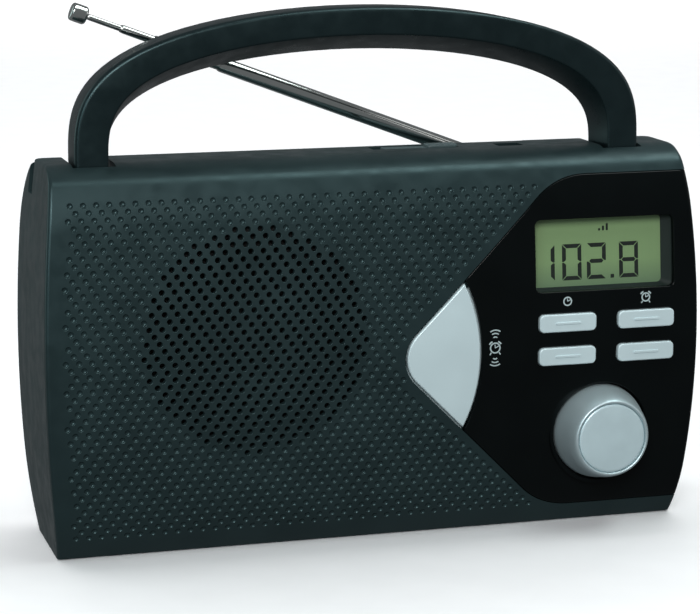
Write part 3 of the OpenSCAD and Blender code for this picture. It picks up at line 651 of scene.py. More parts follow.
def chevron_corners(g):
    top, low, tip = FASCIA_TOP - g, FASCIA_LOW + g, np.array([TIP_X + g * math.sqrt(2), TIP_Z])
    return np.array([tip[0] + top - TIP_Z, top]), tip, np.array([tip[0] + TIP_Z - low, low])


def chevron(g):
    """The fascia's outline drawn in by g, running on past the right end."""
    upper, tip, lower = chevron_corners(g)
    high, low = [FAR, upper[1]], [FAR, lower[1]]
    return np.array([high, *fillet(high, upper, tip, ELBOW_R - g), *fillet(upper, tip, lower, TIP_R - g),
                     *fillet(tip, lower, low, ELBOW_R - g), low])


def zone_meets(g, r):
    """How far from the tip, sideways, its diagonals meet the circle that ends the snooze button."""
    d = TIP_X + g * math.sqrt(2) - ZONE_X
    return (math.sqrt(2 * r * r - d * d) - d) / 2


def zone_arc(g, r, n=36):
    """The snooze button's round right side, from low to high."""
    reach = math.asin(zone_meets(g, r) / r)
    return [np.array([ZONE_X + r * math.cos(a), TIP_Z + r * math.sin(a)])
            for a in np.linspace(-reach, reach, n)]


def snooze_outline(g, r):
    upper, tip, lower = chevron_corners(g)
    return dense(zone_arc(g, r) + fillet(upper, tip, lower, TIP_R - g, 16))


def fascia_outline(g, r):
    upper, tip, lower = chevron_corners(g)
    z = np.linspace(lower[1], upper[1], 40)
    end = [np.array([half_at(h) - g / 2, h]) for h in z]
    return dense(fillet(tip, lower, end[0], ELBOW_R - g) + end + fillet(end[-1], upper, tip, ELBOW_R - g)
                 + zone_arc(g, r)[::-1])


def disc(x, z, r, n=64):
    a = np.arange(n) * 2 * np.pi / n
    return np.column_stack([x + r * np.cos(a), z + r * np.sin(a)])


def skin(depth0, depth1):
    """A layer that follows the front, between two depths behind it."""
    z = np.linspace(BASE, TOP, 150)
    outer = np.column_stack([front_at(z) + depth0, z])
    inner = np.column_stack([front_at(z) + depth1, z])[::-1]
    return prism(np.vstack([outer, inner]), "x", -FAR, FAR)


def body(depth):
    """The closed cabinet, drawn in by depth, with its upright and top edges rounded."""
    turn = np.radians(np.linspace(0, 90, 30))
    low, high = BASE + depth, TOP - depth
    z = np.concatenate([np.linspace(low, TOP - SHOULDER_R, 60),
                        TOP - SHOULDER_R + (SHOULDER_R - depth) * np.sin(turn),
                        TOP - ROLL_R + (ROLL_R - depth) * np.sin(turn),
                        high - EDGE_TOP + EDGE_TOP * np.sin(turn[::4]), [high]])
    z = np.unique(np.round(z, 2))
    rings = []
    for h in z[(z >= low) & (z <= high)]:
        half, front, rear = (float(f(h, depth)) for f in (half_at, front_at, rear_at))
        edges = [max(0.1, e - depth) for e in (EDGE_FRONT, EDGE_FRONT, EDGE_REAR, EDGE_REAR)]
        flat = rounded(-half, front, half, rear, edges, 6)
        rings.append(np.column_stack([flat, np.full(len(flat), h)]))
    return loft(rings)


# ---------------------------------------------------------------- places shared by both cabinets
HANDLE_LOW, HANDLE_HIGH = span("carry_handle")
HANDLE_X = (HANDLE_LOW[0] + HANDLE_HIGH[0]) / 2
HANDLE_HALF = (HANDLE_HIGH[0] - HANDLE_LOW[0]) / 2
LEG_IN = 86.4
PIVOT_R = (HANDLE_HIGH[1] - HANDLE_LOW[1]) / 2
PIVOT_Y = (HANDLE_HIGH[1] + HANDLE_LOW[1]) / 2
PIVOT_Z = HANDLE_LOW[2] + PIVOT_R
PIN_R = 3.0
WELL_FLOOR = HANDLE_LOW[2] - 0.6
WELL_FRONT = HANDLE_LOW[1] - 1
WELLS = [(HANDLE_X - HANDLE_HALF - 0.9, HANDLE_X - LEG_IN + 2.2),
         (HANDLE_X + LEG_IN - 2.2, HANDLE_X + HANDLE_HALF + 0.9)]
SCREWS = [(-98, 20), (-98, 100), (40, 11), (73, 116)]
FEET = [(-88, -9.4), (88, -9.4), (-88, 17), (88, 17)]
FOOT_PAD_R = 4.0
POST_R, PILOT_R, SHANK_BORE_R, HEAD_BORE_R = 4, 1.3, 1.8, 3.4
RING_IN, RING_OUT, RING_DEEP, RING_Y = 38.6, 40.5, 10, -19.6
KNOB_FLOOR = -21.6
AERIAL = np.array([54, 16, 121.5])  # where the aerial's swivel pin crosses its axis


def wells(g):
    return [block([a - g, WELL_FRONT - g, WELL_FLOOR - g], [b + g, REAR + 5, TOP + 5]) for a, b in WELLS]


def shelf(g):
    """Room for the stowed aerial: a shelf behind the handle and a channel out through the left end."""
    left = WELLS[0][0]
    return [block([left - g, 10.4 - g, 115.8 - g], [62 + g, REAR + 5, TOP + 5]),
            block([-FAR, 12.3 - g, 117.8 - g], [left, 19.7 + g, TOP + 5])]


def pivot_bores():
    return [rod([0, PIVOT_Y, PIVOT_Z], [1, 0, 0], PIN_R + 0.05, a - 3, b + 3, 32) for a, b in WELLS]


def foot_seats():
    return joined(*[rod([x, y, 0], [0, 0, 1], FOOT_PAD_R + 0.1, -1, 1.7, 32) for x, y in FEET])


# ---------------------------------------------------------------- front cabinet
ROW_PITCH, HOLE_PITCH, ROW_SHIFT, MIRROR_ROW = 2.394, 4.244, 1.665, 19
LATTICE_X, LATTICE_TOP = -53.87, 108.775
DIMPLE_TOP, DIMPLE_LOW, DIMPLE_LEFT, DIMPLE_RIGHT = 118.6, 8.0, 6.0, 68


def lattice():
    """Hole centres inside the grille's circle, and dimple centres over the rest of the panel."""
    holes, dimples = [], []
    keep_off = chevron(-2.3)
    for j in range(-4, 44):  # more rows and columns than the panel holds
        z = LATTICE_TOP - j * ROW_PITCH
        row = LATTICE_X + ROW_SHIFT * (j if j <= MIRROR_ROW else 2 * MIRROR_ROW - j)
        for i in range(-40, 60):
            x = row + i * HOLE_PITCH
            if math.hypot(x - GRILLE_X, z - GRILLE_Z) < GRILLE_R:
                holes.append((x, z))
            elif DIMPLE_LOW < z < DIMPLE_TOP and -float(half_at(z)) + DIMPLE_LEFT < x < DIMPLE_RIGHT:
                dimples.append((x, z))
    dimples = np.array(dimples)
    return np.array(holes), dimples[~inside(dimples, [keep_off])]


def cutters(centres, profile, sides):
    """One turned cutter at each centre, its profile of (radius, height) standing on the front surface."""
    points, faces = turned(profile, [0, 0, 0], [0, 0, 1], sides)
    all_points, all_faces = [], []
    y, normal = surface(centres[:, 0], centres[:, 1])
    for k, (x, z) in enumerate(centres):
        w = normal[k]
        v = np.array([0, w[2], -w[1]])
        placed = np.outer(points[:, 0], [1, 0, 0]) + np.outer(points[:, 1], v) + np.outer(points[:, 2], w)
        all_points.append(placed + [x, y[k], z])
        all_faces += [[i + k * len(points) for i in face] for face in faces]
    return np.vstack(all_points), all_faces


def front_cabinet():
    hollow = cut(body(WALL), *wells(1.8))
    ring = turned([(RING_IN, 0), (RING_IN, RING_DEEP), (RING_OUT, RING_DEEP), (RING_OUT, 0)],
                  [GRILLE_X, RING_Y, GRILLE_Z], [0, -1, 0], 96, True)
    posts = joined(*[rod([x, 0, z], [0, 1, 0], POST_R, float(front_at(z)) + (4.4 if x > 60 else 1.8), PART,
                         32) for x, z in SCREWS])
    behind = common(joined(ring, posts, block([72, -13, 119.5], [74, PART, TOP - 1])), body(1))
    shell = carved(cut(body(0), hollow), ("UNION", behind),
                   ("INTERSECT", block([-FAR, FRONT - 1, 0], [FAR, PART, TOP + 1])))
    pocket = common(across(chevron(0), -60, 60), skin(-2, 1.9))
    opening = common(across(chevron(3), -60, FRONT + 8),
                     block([-20, FRONT - 5, 0], [HALF - 6, FRONT + 8, TOP]))
    snooze = across(snooze_outline(0, ZONE_R), FRONT - 5, FRONT + 8)
    groove = cut(common(skin(1.7, 2.3), block([-FAR, -60, 7], [10 - HALF, 60, 121])), body(0.8))
    bores = joined(*[rod([x, 0, z], [0, 1, 0], PILOT_R, float(front_at(z)) + 5, PART + 1, 24)
                     for x, z in SCREWS])
    holes, dimples = lattice()
    through = cutters(holes, [(0, -5), (HOLE_R, -5), (HOLE_R, -0.14), (HOLE_R + 0.2, 0.05), (0, 0.05)], 18)
    cups = cutters(dimples, [(0, -0.62), (0.36, -0.58), (0.66, -0.46), (0.86, -0.27), (HOLE_R + 0.02, -0.1),
                             (HOLE_R + 0.2, 0.05), (0, 0.05)], 14)
    return cut(shell, *wells(0), pocket, opening, snooze, groove, bores, *pivot_bores(), foot_seats(),
               through, cups)


make("front_cabinet_shell", front_cabinet(), cabinet_finish, replaces=["front_cabinet"],
     field=body_field, sharp=50)


# ---------------------------------------------------------------- rear cabinet and battery door
BAY_LOW, BAY_HIGH = [-75, 5.9, 8.6], [29, REAR + 1, 62.4]
DOOR_LOW, DOOR_HIGH = span("battery_door")
BOARD_SCREWS = [(36, 98), (96, 22), (38, 24), (78, 100)]
FUNCTION_SLOT, BAND_SLOT = (4, 34.4, 0.4, 7.2), (48, 57, -2, 5)
WHEEL_X, WHEEL_Z, WHEEL_R = 101.2, 92, 11.3
SLOT_LOW, SLOT_HIGH, SLOT_HALF = 7.4, 11.8, 9.5
JACK_Y, JACK_Z = 14, 60
INLET_LOW, INLET_HIGH = span("mains_inlet")
HEAD_Y = 18


def bay(g):
    """The battery bay, grown by g on every side but its open rear."""
    return block([c - g for c in BAY_LOW], [BAY_HIGH[0] + g, BAY_HIGH[1], BAY_HIGH[2] + g])


def rear_cabinet():
    hollow = cut(body(WALL), *wells(1.8), *shelf(1.8), bay(1.5))
    posts = joined(pegs(SCREWS, POST_R, PART, REAR, 32), pegs(BOARD_SCREWS, 3, 2, REAR, 28))
    bosses = pegs([(-100, 72), (100, 72)], POST_R, REAR - 1, REAR + 1, 40, 0.5)
    shell = carved(cut(body(0), hollow), ("UNION", common(posts, body(1))), ("UNION", bosses),
                   ("INTERSECT", block([-FAR, PART, 0], [FAR, REAR + 1, TOP + 1])))
    slots = [block([s[0], s[2], 120], [s[1], s[3], TOP + 1]) for s in (FUNCTION_SLOT, BAND_SLOT)]
    heads = pegs(SCREWS, HEAD_BORE_R, HEAD_Y, REAR + 1, 36)
    shanks = pegs(SCREWS, SHANK_BORE_R, PART - 1, REAR)
    pilots = pegs(BOARD_SCREWS, 1.45, 0, 5.7)
    door_seat = across(facing(DOOR_LOW, DOOR_HIGH, 0.3, 1.3), 20, REAR + 1)
    cooling = joined(*[across(rounded(46 + 5 * i, 48, 48 + 5 * i, 70, 0.95), REAR - 4, REAR + 1)
                       for i in range(7)])
    inlet = across(facing(INLET_LOW, INLET_HIGH, 0.2, 0.8), 20, REAR + 1)
    wheel = block([104, SLOT_LOW, WHEEL_Z - SLOT_HALF], [HALF + 1, SLOT_HIGH, WHEEL_Z + SLOT_HALF])
    jack = rod([0, JACK_Y, JACK_Z], [1, 0, 0], 3.6, 106, HALF + 1, 36)
    aerial_hole = rod([AERIAL[0], 0, AERIAL[2]], [0, 1, 0], 2.6, 0, 15, 32)
    return cut(shell, *wells(0), *shelf(0), bay(0), door_seat, heads, shanks, pilots, *slots, cooling, inlet,
               wheel, jack, aerial_hole, *pivot_bores(), foot_seats())


make("rear_cabinet_shell", rear_cabinet(), cabinet_finish, replaces=["rear_cabinet"],
     field=body_field, sharp=30)


def battery_door():
    outline = facing(DOOR_LOW, DOOR_HIGH, 0, 1.2)
    ridges = [across(rounded(-33, 53 + 1.8 * i, -13, 53.9 + 1.8 * i, 0.44), REAR - 0.6, REAR + 1)
              for i in range(5)]
    arrow = across([(-28, 49.5), (-18, 49.5), (-23, 45.5)], REAR - 0.35, REAR + 1)
    return cut(common(across(outline, 20, REAR + 1), body(0.02)), body(2.2), joined(*ridges), arrow)


make("battery_door_panel", battery_door(), cabinet_finish, "battery_cover", ["battery_door"],
     field=lambda p: body_field(p) + 0.02, sharp=30)


# ---------------------------------------------------------------- fascia, display and keys
KEYS = ["clock_key", "alarm_key", "hour_key", "minute_key"]
MARK_W, MARK_H = 9, 0.8


def fascia():
    g, r = 0.2, ZONE_R + 0.4
    outline = fascia_outline(g, r)
    rim = np.where(outline[:, 0] > half_at(outline[:, 1]) - 1, EDGE_FRONT, 0.35)
    holes = [rounded(*WINDOW, 2, 8), disc(KNOB_X, KNOB_Z, KNOB_R + 0.7)]
    holes += [facing(*span(key), -0.7, 2, 6) for key in KEYS]
    holes = [dense(h) for h in holes]
    panel = plate([outline, *holes], 0, 1.8, [rim, 0.35, 0.5] + [0.3] * 4, 4)
    inner, outer = KNOB_R + 0.7, KNOB_R + 1.9
    well = turned([(inner, 0), (inner, 3), (outer, 3), (outer, -1), (3.4, -1), (3.4, 0)],
                  [KNOB_X, KNOB_FLOOR, KNOB_Z], [0, -1, 0], 72, True)
    return joined_plates(panel, unshaded(well))


make("control_fascia_panel", fascia(), gloss_finish, replaces=["control_fascia"])

stem = rod([24, 0, 63], [0, 1, 0], 2, float(front_at(TIP_Z)) + 3.5, -21.95, 24)
make("snooze_plate",
     joined_plates(plate([snooze_outline(0.75, ZONE_R - 0.6)], -0.4, 3.4, 0.55, 5),
                   plate([snooze_outline(-0.9, ZONE_R + 0.9)], 3, 0.9, 0.1, 1), unshaded(stem)),
     silver_finish, "snooze", ["snooze_button"])


def level_ground(y):
    """A flat ground at y, for plates whose face doesn't follow the cabinet."""
    return lambda x, z: (np.full(len(x), y), np.tile([0.0, -1.0, 0.0], (len(x), 1)))


for key in KEYS:
    low, high = span(key)
    face = low[1] + 0.3
    ground = level_ground(face)
    x, z = (low[0] + high[0]) / 2, (low[2] + high[2]) / 2
    mark = rounded(x - MARK_W / 2, z - MARK_H / 2, x + MARK_W / 2, z + MARK_H / 2, 0.3, 4)
    cap = joined_plates(
        plate([dense(facing(low, high, -1, 1.7, 8), 2)], 0, 3.4, 0.5, 5, 0, ground),
        plate([mark], -0.3, 0.6, 0.12, 3, 0, ground),
        plate([facing(low, high, 0, 1)], 3.4, 1, 0.1, 1, 0, ground),
        unshaded(rod([x, 0, z], [0, 1, 0], 1.6, face + 3, high[1], 24)))
    make(key + "_cap", cap, silver_finish, key.split("_")[0], [key])

# the display stands behind the fascia, tilted with it
WINDOW_X, WINDOW_Z = (WINDOW[0] + WINDOW[2]) / 2, (WINDOW[1] + WINDOW[3]) / 2
TILT = math.atan((WINDOW_Z - BOW_Z) / BOW_R)


def tilted(form):
    """Moves a form drawn about the middle of the window, with Y as its depth, into place."""
    c, s = math.cos(TILT), math.sin(TILT)
    turn = np.array([[1, 0, 0], [0, c, s], [0, -s, c]])
    points = form[0] @ turn.T + [WINDOW_X, float(front_at(WINDOW_Z)), WINDOW_Z]
    return points, form[1], form[2] @ turn.T


def layer(outline, depth, thickness, rim):
    return plate([outline], depth, thickness, rim, 3, 0, level_ground(0))


lens = layer(rounded(-26.4, -13.5, 26.4, 13.5, 1.5), 2.2, 0.8, 0.15)
make("display_lens", tilted(lens), clear, replaces=["display_window"])
glass = layer(rounded(-24.5, -12.5, 24.5, 12.5, 0.5), 5.2, 1.3, 0.15)
make("display_glass", tilted(glass), lcd_painted_shadow, replaces=["lcd_panel"])

DIGIT_W, DIGIT_H, STROKE, GAP = 7.0, 12.3, 1.4, 0.18
DIGIT_Z = 86.2
# each digit's left side and its bars, named as on a seven-bar display
DIGITS = ((55.1, "bc"), (64.8, "abcdef"), (73.7, "abged"), (85.5, "abcdefg"))


def segments():
    """Outlines of the seven bars of a digit, from its lower left corner."""
    w, h, t, g = DIGIT_W, DIGIT_H, STROKE, GAP
    m = h / 2
    top = [(g, h), (w - g, h), (w - t - g, h - t), (t + g, h - t)]
    left = [(0, h - g), (t, h - t - g), (t, m + t / 2 + g / 2), (t * 0.4, m + g / 2), (0, m + g)]
    middle = [(t / 2 + g, m), (t + g, m + t / 2), (w - t - g, m + t / 2), (w - t / 2 - g, m),
              (w - t - g, m - t / 2), (t + g, m - t / 2)]

    def turned_over(shape):
        return [(x, h - y) for x, y in shape]

    def mirrored(shape):
        return [(w - x, y) for x, y in shape]

    return {"a": top, "d": turned_over(top), "f": left, "e": turned_over(left), "b": mirrored(left),
            "c": turned_over(mirrored(left)), "g": middle}


shapes = []
bars = segments()
for left, lit in DIGITS:
    shapes += [ccw(bars[bar]) + [left - WINDOW_X, DIGIT_Z - WINDOW_Z] for bar in lit]
shapes.append(rounded(82.3 - WINDOW_X, 86.3 - WINDOW_Z, 83.6 - WINDOW_X, 87.6 - WINDOW_Z, 0.2))
for i, height in enumerate((0.8, 1.6, 2.4)):
    x, z = 78 + 1.4 * i - WINDOW_X, 102.6 - WINDOW_Z
    shapes.append(rounded(x, z, x + 0.8, z + height, 0.15))
digits = joined_plates(*[layer(s, 5.17, 0.1, 0.02) for s in shapes])
make("display_digits", tilted(digits), digit_finish)


# printed marks on the fascia
def printed(outline, holes=()):
    return plate([outline, *holes], -0.03, 0.1, 0.01, 1, 0)


def ring_mark(x, z, r, width):
    return printed(disc(x, z, r, 40), [disc(x, z, r - width, 40)])


def bar_mark(x0, z0, x1, z1, width):
    a, b = np.array([x0, z0], float), np.array([x1, z1], float)
    u = (b - a) / np.linalg.norm(b - a)
    side = np.array([-u[1], u[0]]) * width / 2
    return printed(ccw([a - side, b - side, b + side, a + side]))


def arc_mark(x, z, r, width, middle, reach):
    angles = np.radians(np.linspace(middle - reach, middle + reach, 14))
    outer = [(x + r * math.cos(a), z + r * math.sin(a)) for a in angles]
    inner = [(x + (r - width) * math.cos(a), z + (r - width) * math.sin(a)) for a in angles[::-1]]
    return printed(ccw(outer + inner))


def clock_mark(x, z, r, alarm):
    marks = [ring_mark(x, z, r, 0.45), bar_mark(x, z, x + 0.7 * r, z + 0.35 * r, 0.3),
             bar_mark(x, z, x - 0.1, z + 0.62 * r, 0.3)]
    if alarm:
        for s in (-1, 1):
            marks.append(arc_mark(x, z, r + 0.75, 0.5, 90 + 42 * s, 17))
            marks.append(bar_mark(x + s * 0.72 * r, z - 0.8 * r, x + s * 0.98 * r, z - 1.22 * r, 0.4))
    return marks


BELL_X, BELL_Z = 38.9, 65.1
marks = clock_mark(64.7, 79.6, 1.6, False) + clock_mark(93.1, 79.6, 1.6, True)
marks += clock_mark(BELL_X, BELL_Z, 1.9, True)
for side, middle in ((1, 90), (-1, 270)):
    for r, reach in ((1.1, 50), (2.3, 34), (3.4, 34)):
        marks.append(arc_mark(BELL_X, BELL_Z + side * 2.9, r, 0.42, middle, reach))
make("fascia_marks", joined_plates(*marks), print_finish)


# ---------------------------------------------------------------- tuning knob
def smooth_profile(points, n=6):
    """A smooth curve through points, by Catmull-Rom."""
    p = np.array([points[0], *points, points[-1]], float)
    out = []
    for i in range(1, len(p) - 2):
        for t in np.arange(n) / n:
            out.append(0.5 * (2 * p[i] + (p[i + 1] - p[i - 1]) * t
                              + (2 * p[i - 1] - 5 * p[i] + 4 * p[i + 1] - p[i + 2]) * t**2
                              + (3 * p[i] - p[i - 1] - 3 * p[i + 1] + p[i + 2]) * t**3))
    return [tuple(q) for q in out] + [tuple(points[-1])]


DISC_R = KNOB_R - 4.4
dome = smooth_profile([(KNOB_R - inset, h) for inset, h in (
    (0.4, 22.0), (0, 22.5), (0.25, 25), (1.0, 28), (1.6, 30.4), (2.15, 32.6), (2.8, 34.6), (3.3, 35.6),
    (3.75, 35.95), (4.15, 35.85), (4.4, 35.5))], 5)
knob = [(3.05, 30), (3.05, 22), (5.5, 22), (5.5, 32), (KNOB_R - 2.4, 31), (KNOB_R - 1.6, 22.0)]
knob += dome + [(DISC_R, 34.9), (1e-3, 34.9), (1e-3, 30.0)]
make("tuning_knob_body", turned(knob, [KNOB_X, 0, KNOB_Z], [0, -1, 0], 128, True), knob_finish,
     "tuning", ["tuning_knob"], sharp=45)
rim = [(DISC_R - inset, h)
       for inset, h in ((0.4, 34.9), (0.25, 35.05), (0.25, 35.5), (0.45, 35.7), (1.1, 35.78))]
face = turned([(0, 34.9), *rim, (0, 35.8)], [KNOB_X, 0, KNOB_Z], [0, -1, 0], 128)
make("tuning_knob_disc", face, insert_finish, "tuning", ["knob_insert"], sharp=60)

# ---------------------------------------------------------------- carry handle
RISE = HANDLE_HIGH[2] - TOP
FRONT_IN, REAR_IN = (LEG_IN, 39.6), (84.3, 33.6)
SQUARE, REAR_SQUARE = 3.1, 2.7


def arch(a, b, t, n=SQUARE):
    """A point at angle t of a squared-off arch of half width a and rise b, above the cabinet's top."""
    return np.array([HANDLE_X + a * math.cos(t), TOP + b * max(0.0, math.sin(t)) ** (2 / n)])


def handle_ring(outer, front_in, rear_in, y0, y1):
    """The handle's cross-section with its four edges rounded, from the outer front corner on."""
    corners = [np.array([outer[0], y0, outer[1]]), np.array([outer[0], y1, outer[1]]),
               np.array([rear_in[0], y1, rear_in[1]]), np.array([front_in[0], y0, front_in[1]])]
    size = min(1.0, (y1 - y0) / 4)
    ring = []
    for i, radius in enumerate((1.7, 1.4, 0.9, 0.6)):
        p, before, after = corners[i], corners[i - 1], corners[(i + 1) % 4]
        u, v = (q - p for q in (before, after))
        u, v = u / np.linalg.norm(u), v / np.linalg.norm(v)
        for a in np.radians(np.linspace(0, 90, 6)):
            ring.append(p + radius * size * (u * (1 - math.sin(a)) + v * (1 - math.cos(a))))
    return np.array(ring)


def handle():
    y0, y1 = HANDLE_LOW[1], HANDLE_HIGH[1]
    steps = (np.linspace(0, 1, 34) ** 1.9) * math.pi / 2
    turns = np.concatenate([steps, math.pi - steps[-2::-1]])
    span_rings = [handle_ring(arch(HANDLE_HALF, RISE, t), arch(*FRONT_IN, t), arch(*REAR_IN, t, REAR_SQUARE),
                              y0, y1) for t in turns]

    def leg(side):
        outer, inner = HANDLE_X + side * HANDLE_HALF, HANDLE_X + side * LEG_IN
        flare = HANDLE_X + side * REAR_IN[0]
        out = []
        for z in np.linspace(TOP - 1, PIVOT_Z, 8):
            near = max(0, 1 - (TOP - z) / 4)
            out.append(handle_ring((outer, z), (inner, z), (inner + (flare - inner) * near, z), y0, y1))
        for a in np.radians([15, 30, 45, 58, 70, 80, 86]):
            reach, z = PIVOT_R * math.cos(a), PIVOT_Z - PIVOT_R * math.sin(a)
            out.append(handle_ring((outer, z), (inner, z), (inner, z), PIVOT_Y - reach, PIVOT_Y + reach))
        return out

    rings = leg(1)[::-1] + span_rings + leg(-1)
    bore = rod([0, PIVOT_Y, PIVOT_Z], [1, 0, 0], PIN_R + 0.06, -FAR, FAR, 40)
    return cut(loft(rings), bore)


make("carry_handle_arch", handle(), handle_finish, "handle", ["carry_handle"], sharp=40)

# ---------------------------------------------------------------- aerial, drawn level towards -X, then lifted
LIFT = math.radians(20.6)
TUBE_START, TUBE_END, STEP_OUT = 5, 106, 11.9
SECTIONS = ((2.2, 96), (1.8, 94), (1.4, 92), (1.0, 90))  # radius and length, from the thickest
EYE_R, TONGUE_HALF = 1.26, 1.85


def lifted(form):
    c, s = math.cos(LIFT), math.sin(LIFT)
    turn = np.array([[c, 0, s], [0, 1, 0], [-s, 0, c]])
    return (form[0] @ turn.T + AERIAL, *form[1:])


def along(profile, sides=48):
    return turned(profile, [0, 0, 0], [-1, 0, 0], sides)


tube = along([(0, TUBE_START), (2.3, TUBE_START), (2.6, 5.4), (2.6, 104.9), (2.52, 105.5), (2.36, TUBE_END),
              (2.28, TUBE_END), (2.28, 9), (0, 9)], 64)
eye_bore = rod([0, 0, 0], [0, 0, 1], EYE_R, -5, 5, 32)
eye = cut(rod([0, 0, 0], [0, 0, 1], 3.3, -TONGUE_HALF, TONGUE_HALF, 48, 0.3), eye_bore)
tongue = cut(soft_block([-TUBE_START - 0.4, -2, -TONGUE_HALF], [-0.5, 2, TONGUE_HALF], 0.3), eye_bore)
tongue = carved(tongue, ("UNION", eye))
make("aerial_outer_tube", lifted(joined(tube, tongue)), chrome_finish, "aerial_mast",
     ["aerial_tube"])
for i, (r, length) in enumerate(SECTIONS, 1):
    end = TUBE_END + STEP_OUT * i
    start = end - length
    crimp = [(r, end - 1.1), (r - 0.06, end - 0.5), (r - 0.22, end)]
    profile = [(0, start), (r - 0.1, start), (r, start + 0.2), *crimp]
    if i < len(SECTIONS):
        profile += [(r - 0.3, end), (r - 0.3, start + 1.5), (0, start + 1.5)]
    else:
        profile += [(0, end)]
    make(f"aerial_inner_{i}", lifted(along(profile)), chrome_finish, f"aerial_rod_{i}",
         [f"aerial_section_{i}"])
tip = TUBE_END + STEP_OUT * len(SECTIONS)
bead = smooth_profile([(2.1, 0), (2.6, 0.15), (3.0, 0.7), (3.05, 1.3), (3.05, 4.5), (2.9, 5.2), (2.4, 5.6),
                       (1.2, 5.7)], 4)
bead = along([(0, tip), *[(r, tip + h) for r, h in bead], (0, tip + 5.7)])
make("aerial_tip_cap", lifted(bead), chrome_finish, "aerial_rod_4", ["aerial_tip"], sharp=60)

# ---------------------------------------------------------------- small controls
SLIDER_LOW = 126.5
low, high = span("function_slider")
step_top = high[2] - 1
ribs = [soft_block([24.6 + 2.1 * i, low[1] + 0.6, step_top + 0.8],
                   [25.4 + 2.1 * i, high[1] - 0.6, high[2]], 0.09, 0.3) for i in range(5)]
strip = soft_block([low[0], low[1], SLIDER_LOW], [high[0], high[1], step_top], 0.3, 0.8)
grip = soft_block([23.4, low[1], step_top - 0.5], [high[0], high[1], high[2] - 0.12], 0.4, 0.9)
slider = joined(strip, grip, *ribs, block([20, 2.8, 122], [24, 4.8, 126.8]))
slider_finish = finish("slider_grey", (0.055, 0.082, 0.086), 0.4, grain=0.15, height=0.006)
make("function_slider_grip", slider, slider_finish, "function", ["function_slider"])
low, high = span("band_slider")
band = joined(soft_block([low[0], low[1], SLIDER_LOW], high, 0.35, 0.8),
              block([49.4, 0.5, 122], [51.6, 2.5, 126.8]))
make("band_slider_grip", band, black_finish, "band", ["band_slider"])

NOTCHES = 30
angles = np.arange(NOTCHES * 6) * 2 * np.pi / (NOTCHES * 6)
notch = 0.45 * np.clip(np.cos(angles * NOTCHES) * 1.6 - 0.4, 0, 1)
rings = []
# the first ring stands behind the last, so the wheel is a cup whose open side is at its front
for inset, y in ((0.35, 11.8), (0, 8.3), (0, 10.9), (0.35, 11.2)):
    r = WHEEL_R - notch - inset
    rings.append(np.column_stack([WHEEL_X + r * np.sin(angles), np.full(len(r), y),
                                  WHEEL_Z + r * np.cos(angles)]))
wheel = joined(loft(rings), rod([WHEEL_X, 0, WHEEL_Z], [0, 1, 0], 2, 3.8, 8.2, 32))
make("volume_wheel_knurled", wheel, black_finish, "volume", ["volume_wheel"], sharp=30)

feet = joined(*[rod([x, y, 0], [0, 0, 1], FOOT_PAD_R, 0, 1.6, 40, 0.4) for x, y in FEET])
make("rubber_feet", feet, rubber_finish, replaces=["foot_pads"])

head_profile = [(0, 0), (3, 0), (3, 1.2), (2.6, 1.9), (1.7, 2.2), (0, 2.2)]
screws = []
for x, z in SCREWS:
    head = turned([(r, HEAD_Y + h) for r, h in head_profile], [x, 0, z], [0, 1, 0], 40)
    cross = [block([x - a, HEAD_Y + 0.9, z - b], [x + a, HEAD_Y + 4, z + b])
             for a, b in ((1.6, 0.32), (0.32, 1.6))]
    screws += [cut(head, *cross), rod([x, 0, z], [0, 1, 0], 1.25, -14, HEAD_Y + 0.1, 24)]
make("cabinet_screw_set", joined(*screws), steel_finish, replaces=["cabinet_screws"])

# ---------------------------------------------------------------- CAD nodes that stay
KEPT = {
    holder_finish: ("lcd_holder",),
    board_green: ("key_board", "main_board"),
    black_finish: ("key_switches", "board_components", "volume_control", "function_switch", "band_switch",
                   "mains_inlet", "headphone_jack"),
    ferrite_finish: ("ferrite_rod",),
    copper_finish: ("ferrite_coil", "transformer_coil"),
    cream_finish: ("ferrite_clips", "tuning_capacitor"),
    rubber_finish: ("speaker_gasket", "speaker_surround"),
    basket_finish: ("speaker_frame", "speaker_magnet"),
    paper_finish: ("speaker_cone", "speaker_dust_cap"),
    core_finish: ("mains_transformer",),
    brass_finish: ("inlet_pins", "tuning_shaft"),
    battery_finish: ("battery_cells",),
    steel_finish: ("speaker_screws", "board_screws", "battery_contacts", "battery_springs", "handle_pivots",
                   "aerial_bracket"),
    chrome_finish: ("aerial_swivel", "aerial_pin"),
}
for material, names in KEPT.items():
    for name in names:
        obj = nodes[name]
        obj.data.materials.clear()
        obj.data.materials.append(material)
        weld = obj.modifiers.new("weld", "WELD")
        weld.merge_threshold = 1e-6
        edge = obj.modifiers.new("edge", "BEVEL")
        edge.width = 0.18 * MM
        edge.segments = 2
        edge.limit_method = "ANGLE"
        edge.angle_limit = math.radians(50)
        edge.use_clamp_overlap = True

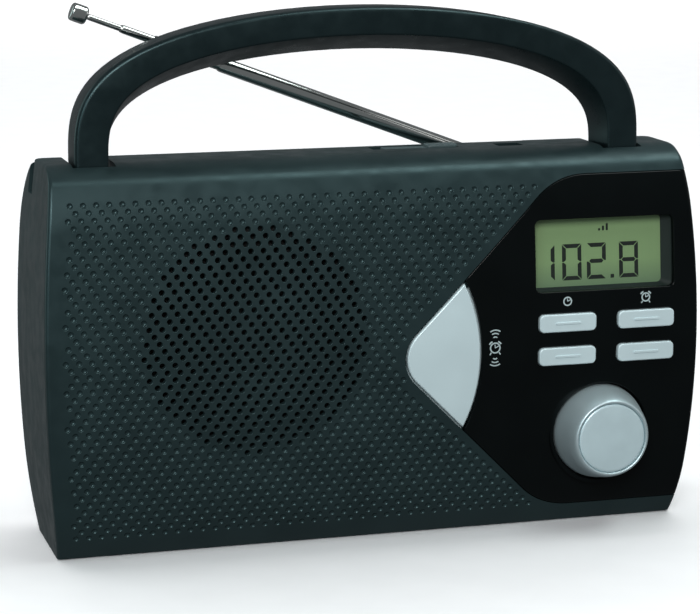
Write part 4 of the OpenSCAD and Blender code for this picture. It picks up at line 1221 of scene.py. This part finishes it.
# ---------------------------------------------------------------- studio
floor = linked("floor", mesh_of("floor", [(-6, -4, 0), (6, -4, 0), (6, 9, 0), (-6, 9, 0)], [(0, 1, 2, 3)]))
floor.data.materials.append(finish("pale_floor", (0.88, 0.88, 0.89), 0.6, grain=2, height=0.002,
                                   spread=0.02, shade=0.01, specular=0.1))
floor.visible_glossy = floor.visible_diffuse = False


def softbox(name, place, target, width, height, watts, colour=(1, 1, 1), glossy=True):
    data = bpy.data.lights.new(name, "AREA")
    data.shape = "RECTANGLE"
    data.size, data.size_y, data.energy, data.color = width, height, watts, colour
    obj = linked(name, data)
    obj.location = place
    obj.rotation_euler = (Vector(target) - Vector(place)).to_track_quat("-Z", "Y").to_euler()
    obj.visible_glossy = glossy


MIDDLE = (0, 0, 0.07)
softbox("top_front", (0.6, -0.32, 1.5), MIDDLE, 1.3, 0.4, 8, (0.9, 1, 0.99))
softbox("front", (-0.6, -1.8, 1.1), MIDDLE, 0.8, 0.8, 26)
softbox("top", (0, 0.7, 1.9), (0, 0.4, 0), 2.6, 1.4, 30, glossy=False)
softbox("left_front", (-1.15, -1.2, 0.5), MIDDLE, 0.5, 0.9, 3.5, (0.75, 0.95, 1))
softbox("left_back", (-1.8, 1.1, 0.6), MIDDLE, 1.6, 1.6, 7, (0.75, 1, 0.97))
softbox("back", (0.6, 2.6, 0.7), (0.3, 1.6, 0), 3.5, 1.6, 30, glossy=False)
softbox("right", (1.7, -0.5, 0.8), MIDDLE, 1.0, 1.2, 3)

world = bpy.data.worlds.new("studio")
bpy.context.scene.world = world
world.use_nodes = True
world.node_tree.nodes["Background"].inputs["Color"].default_value = (0.92, 0.97, 1, 1)
world.node_tree.nodes["Background"].inputs["Strength"].default_value = 0.16
bpy.context.scene.view_settings.view_transform = "Standard"

camera_data = bpy.data.cameras.new("camera")
camera_data.lens = 127.06
camera_data.sensor_width = 36
camera = linked("camera", camera_data)
camera.location = (-0.2342, -0.7909, 0.2367)
camera.rotation_euler = (math.radians(79.0), 0, math.radians(-16.21))
bpy.context.scene.camera = camera
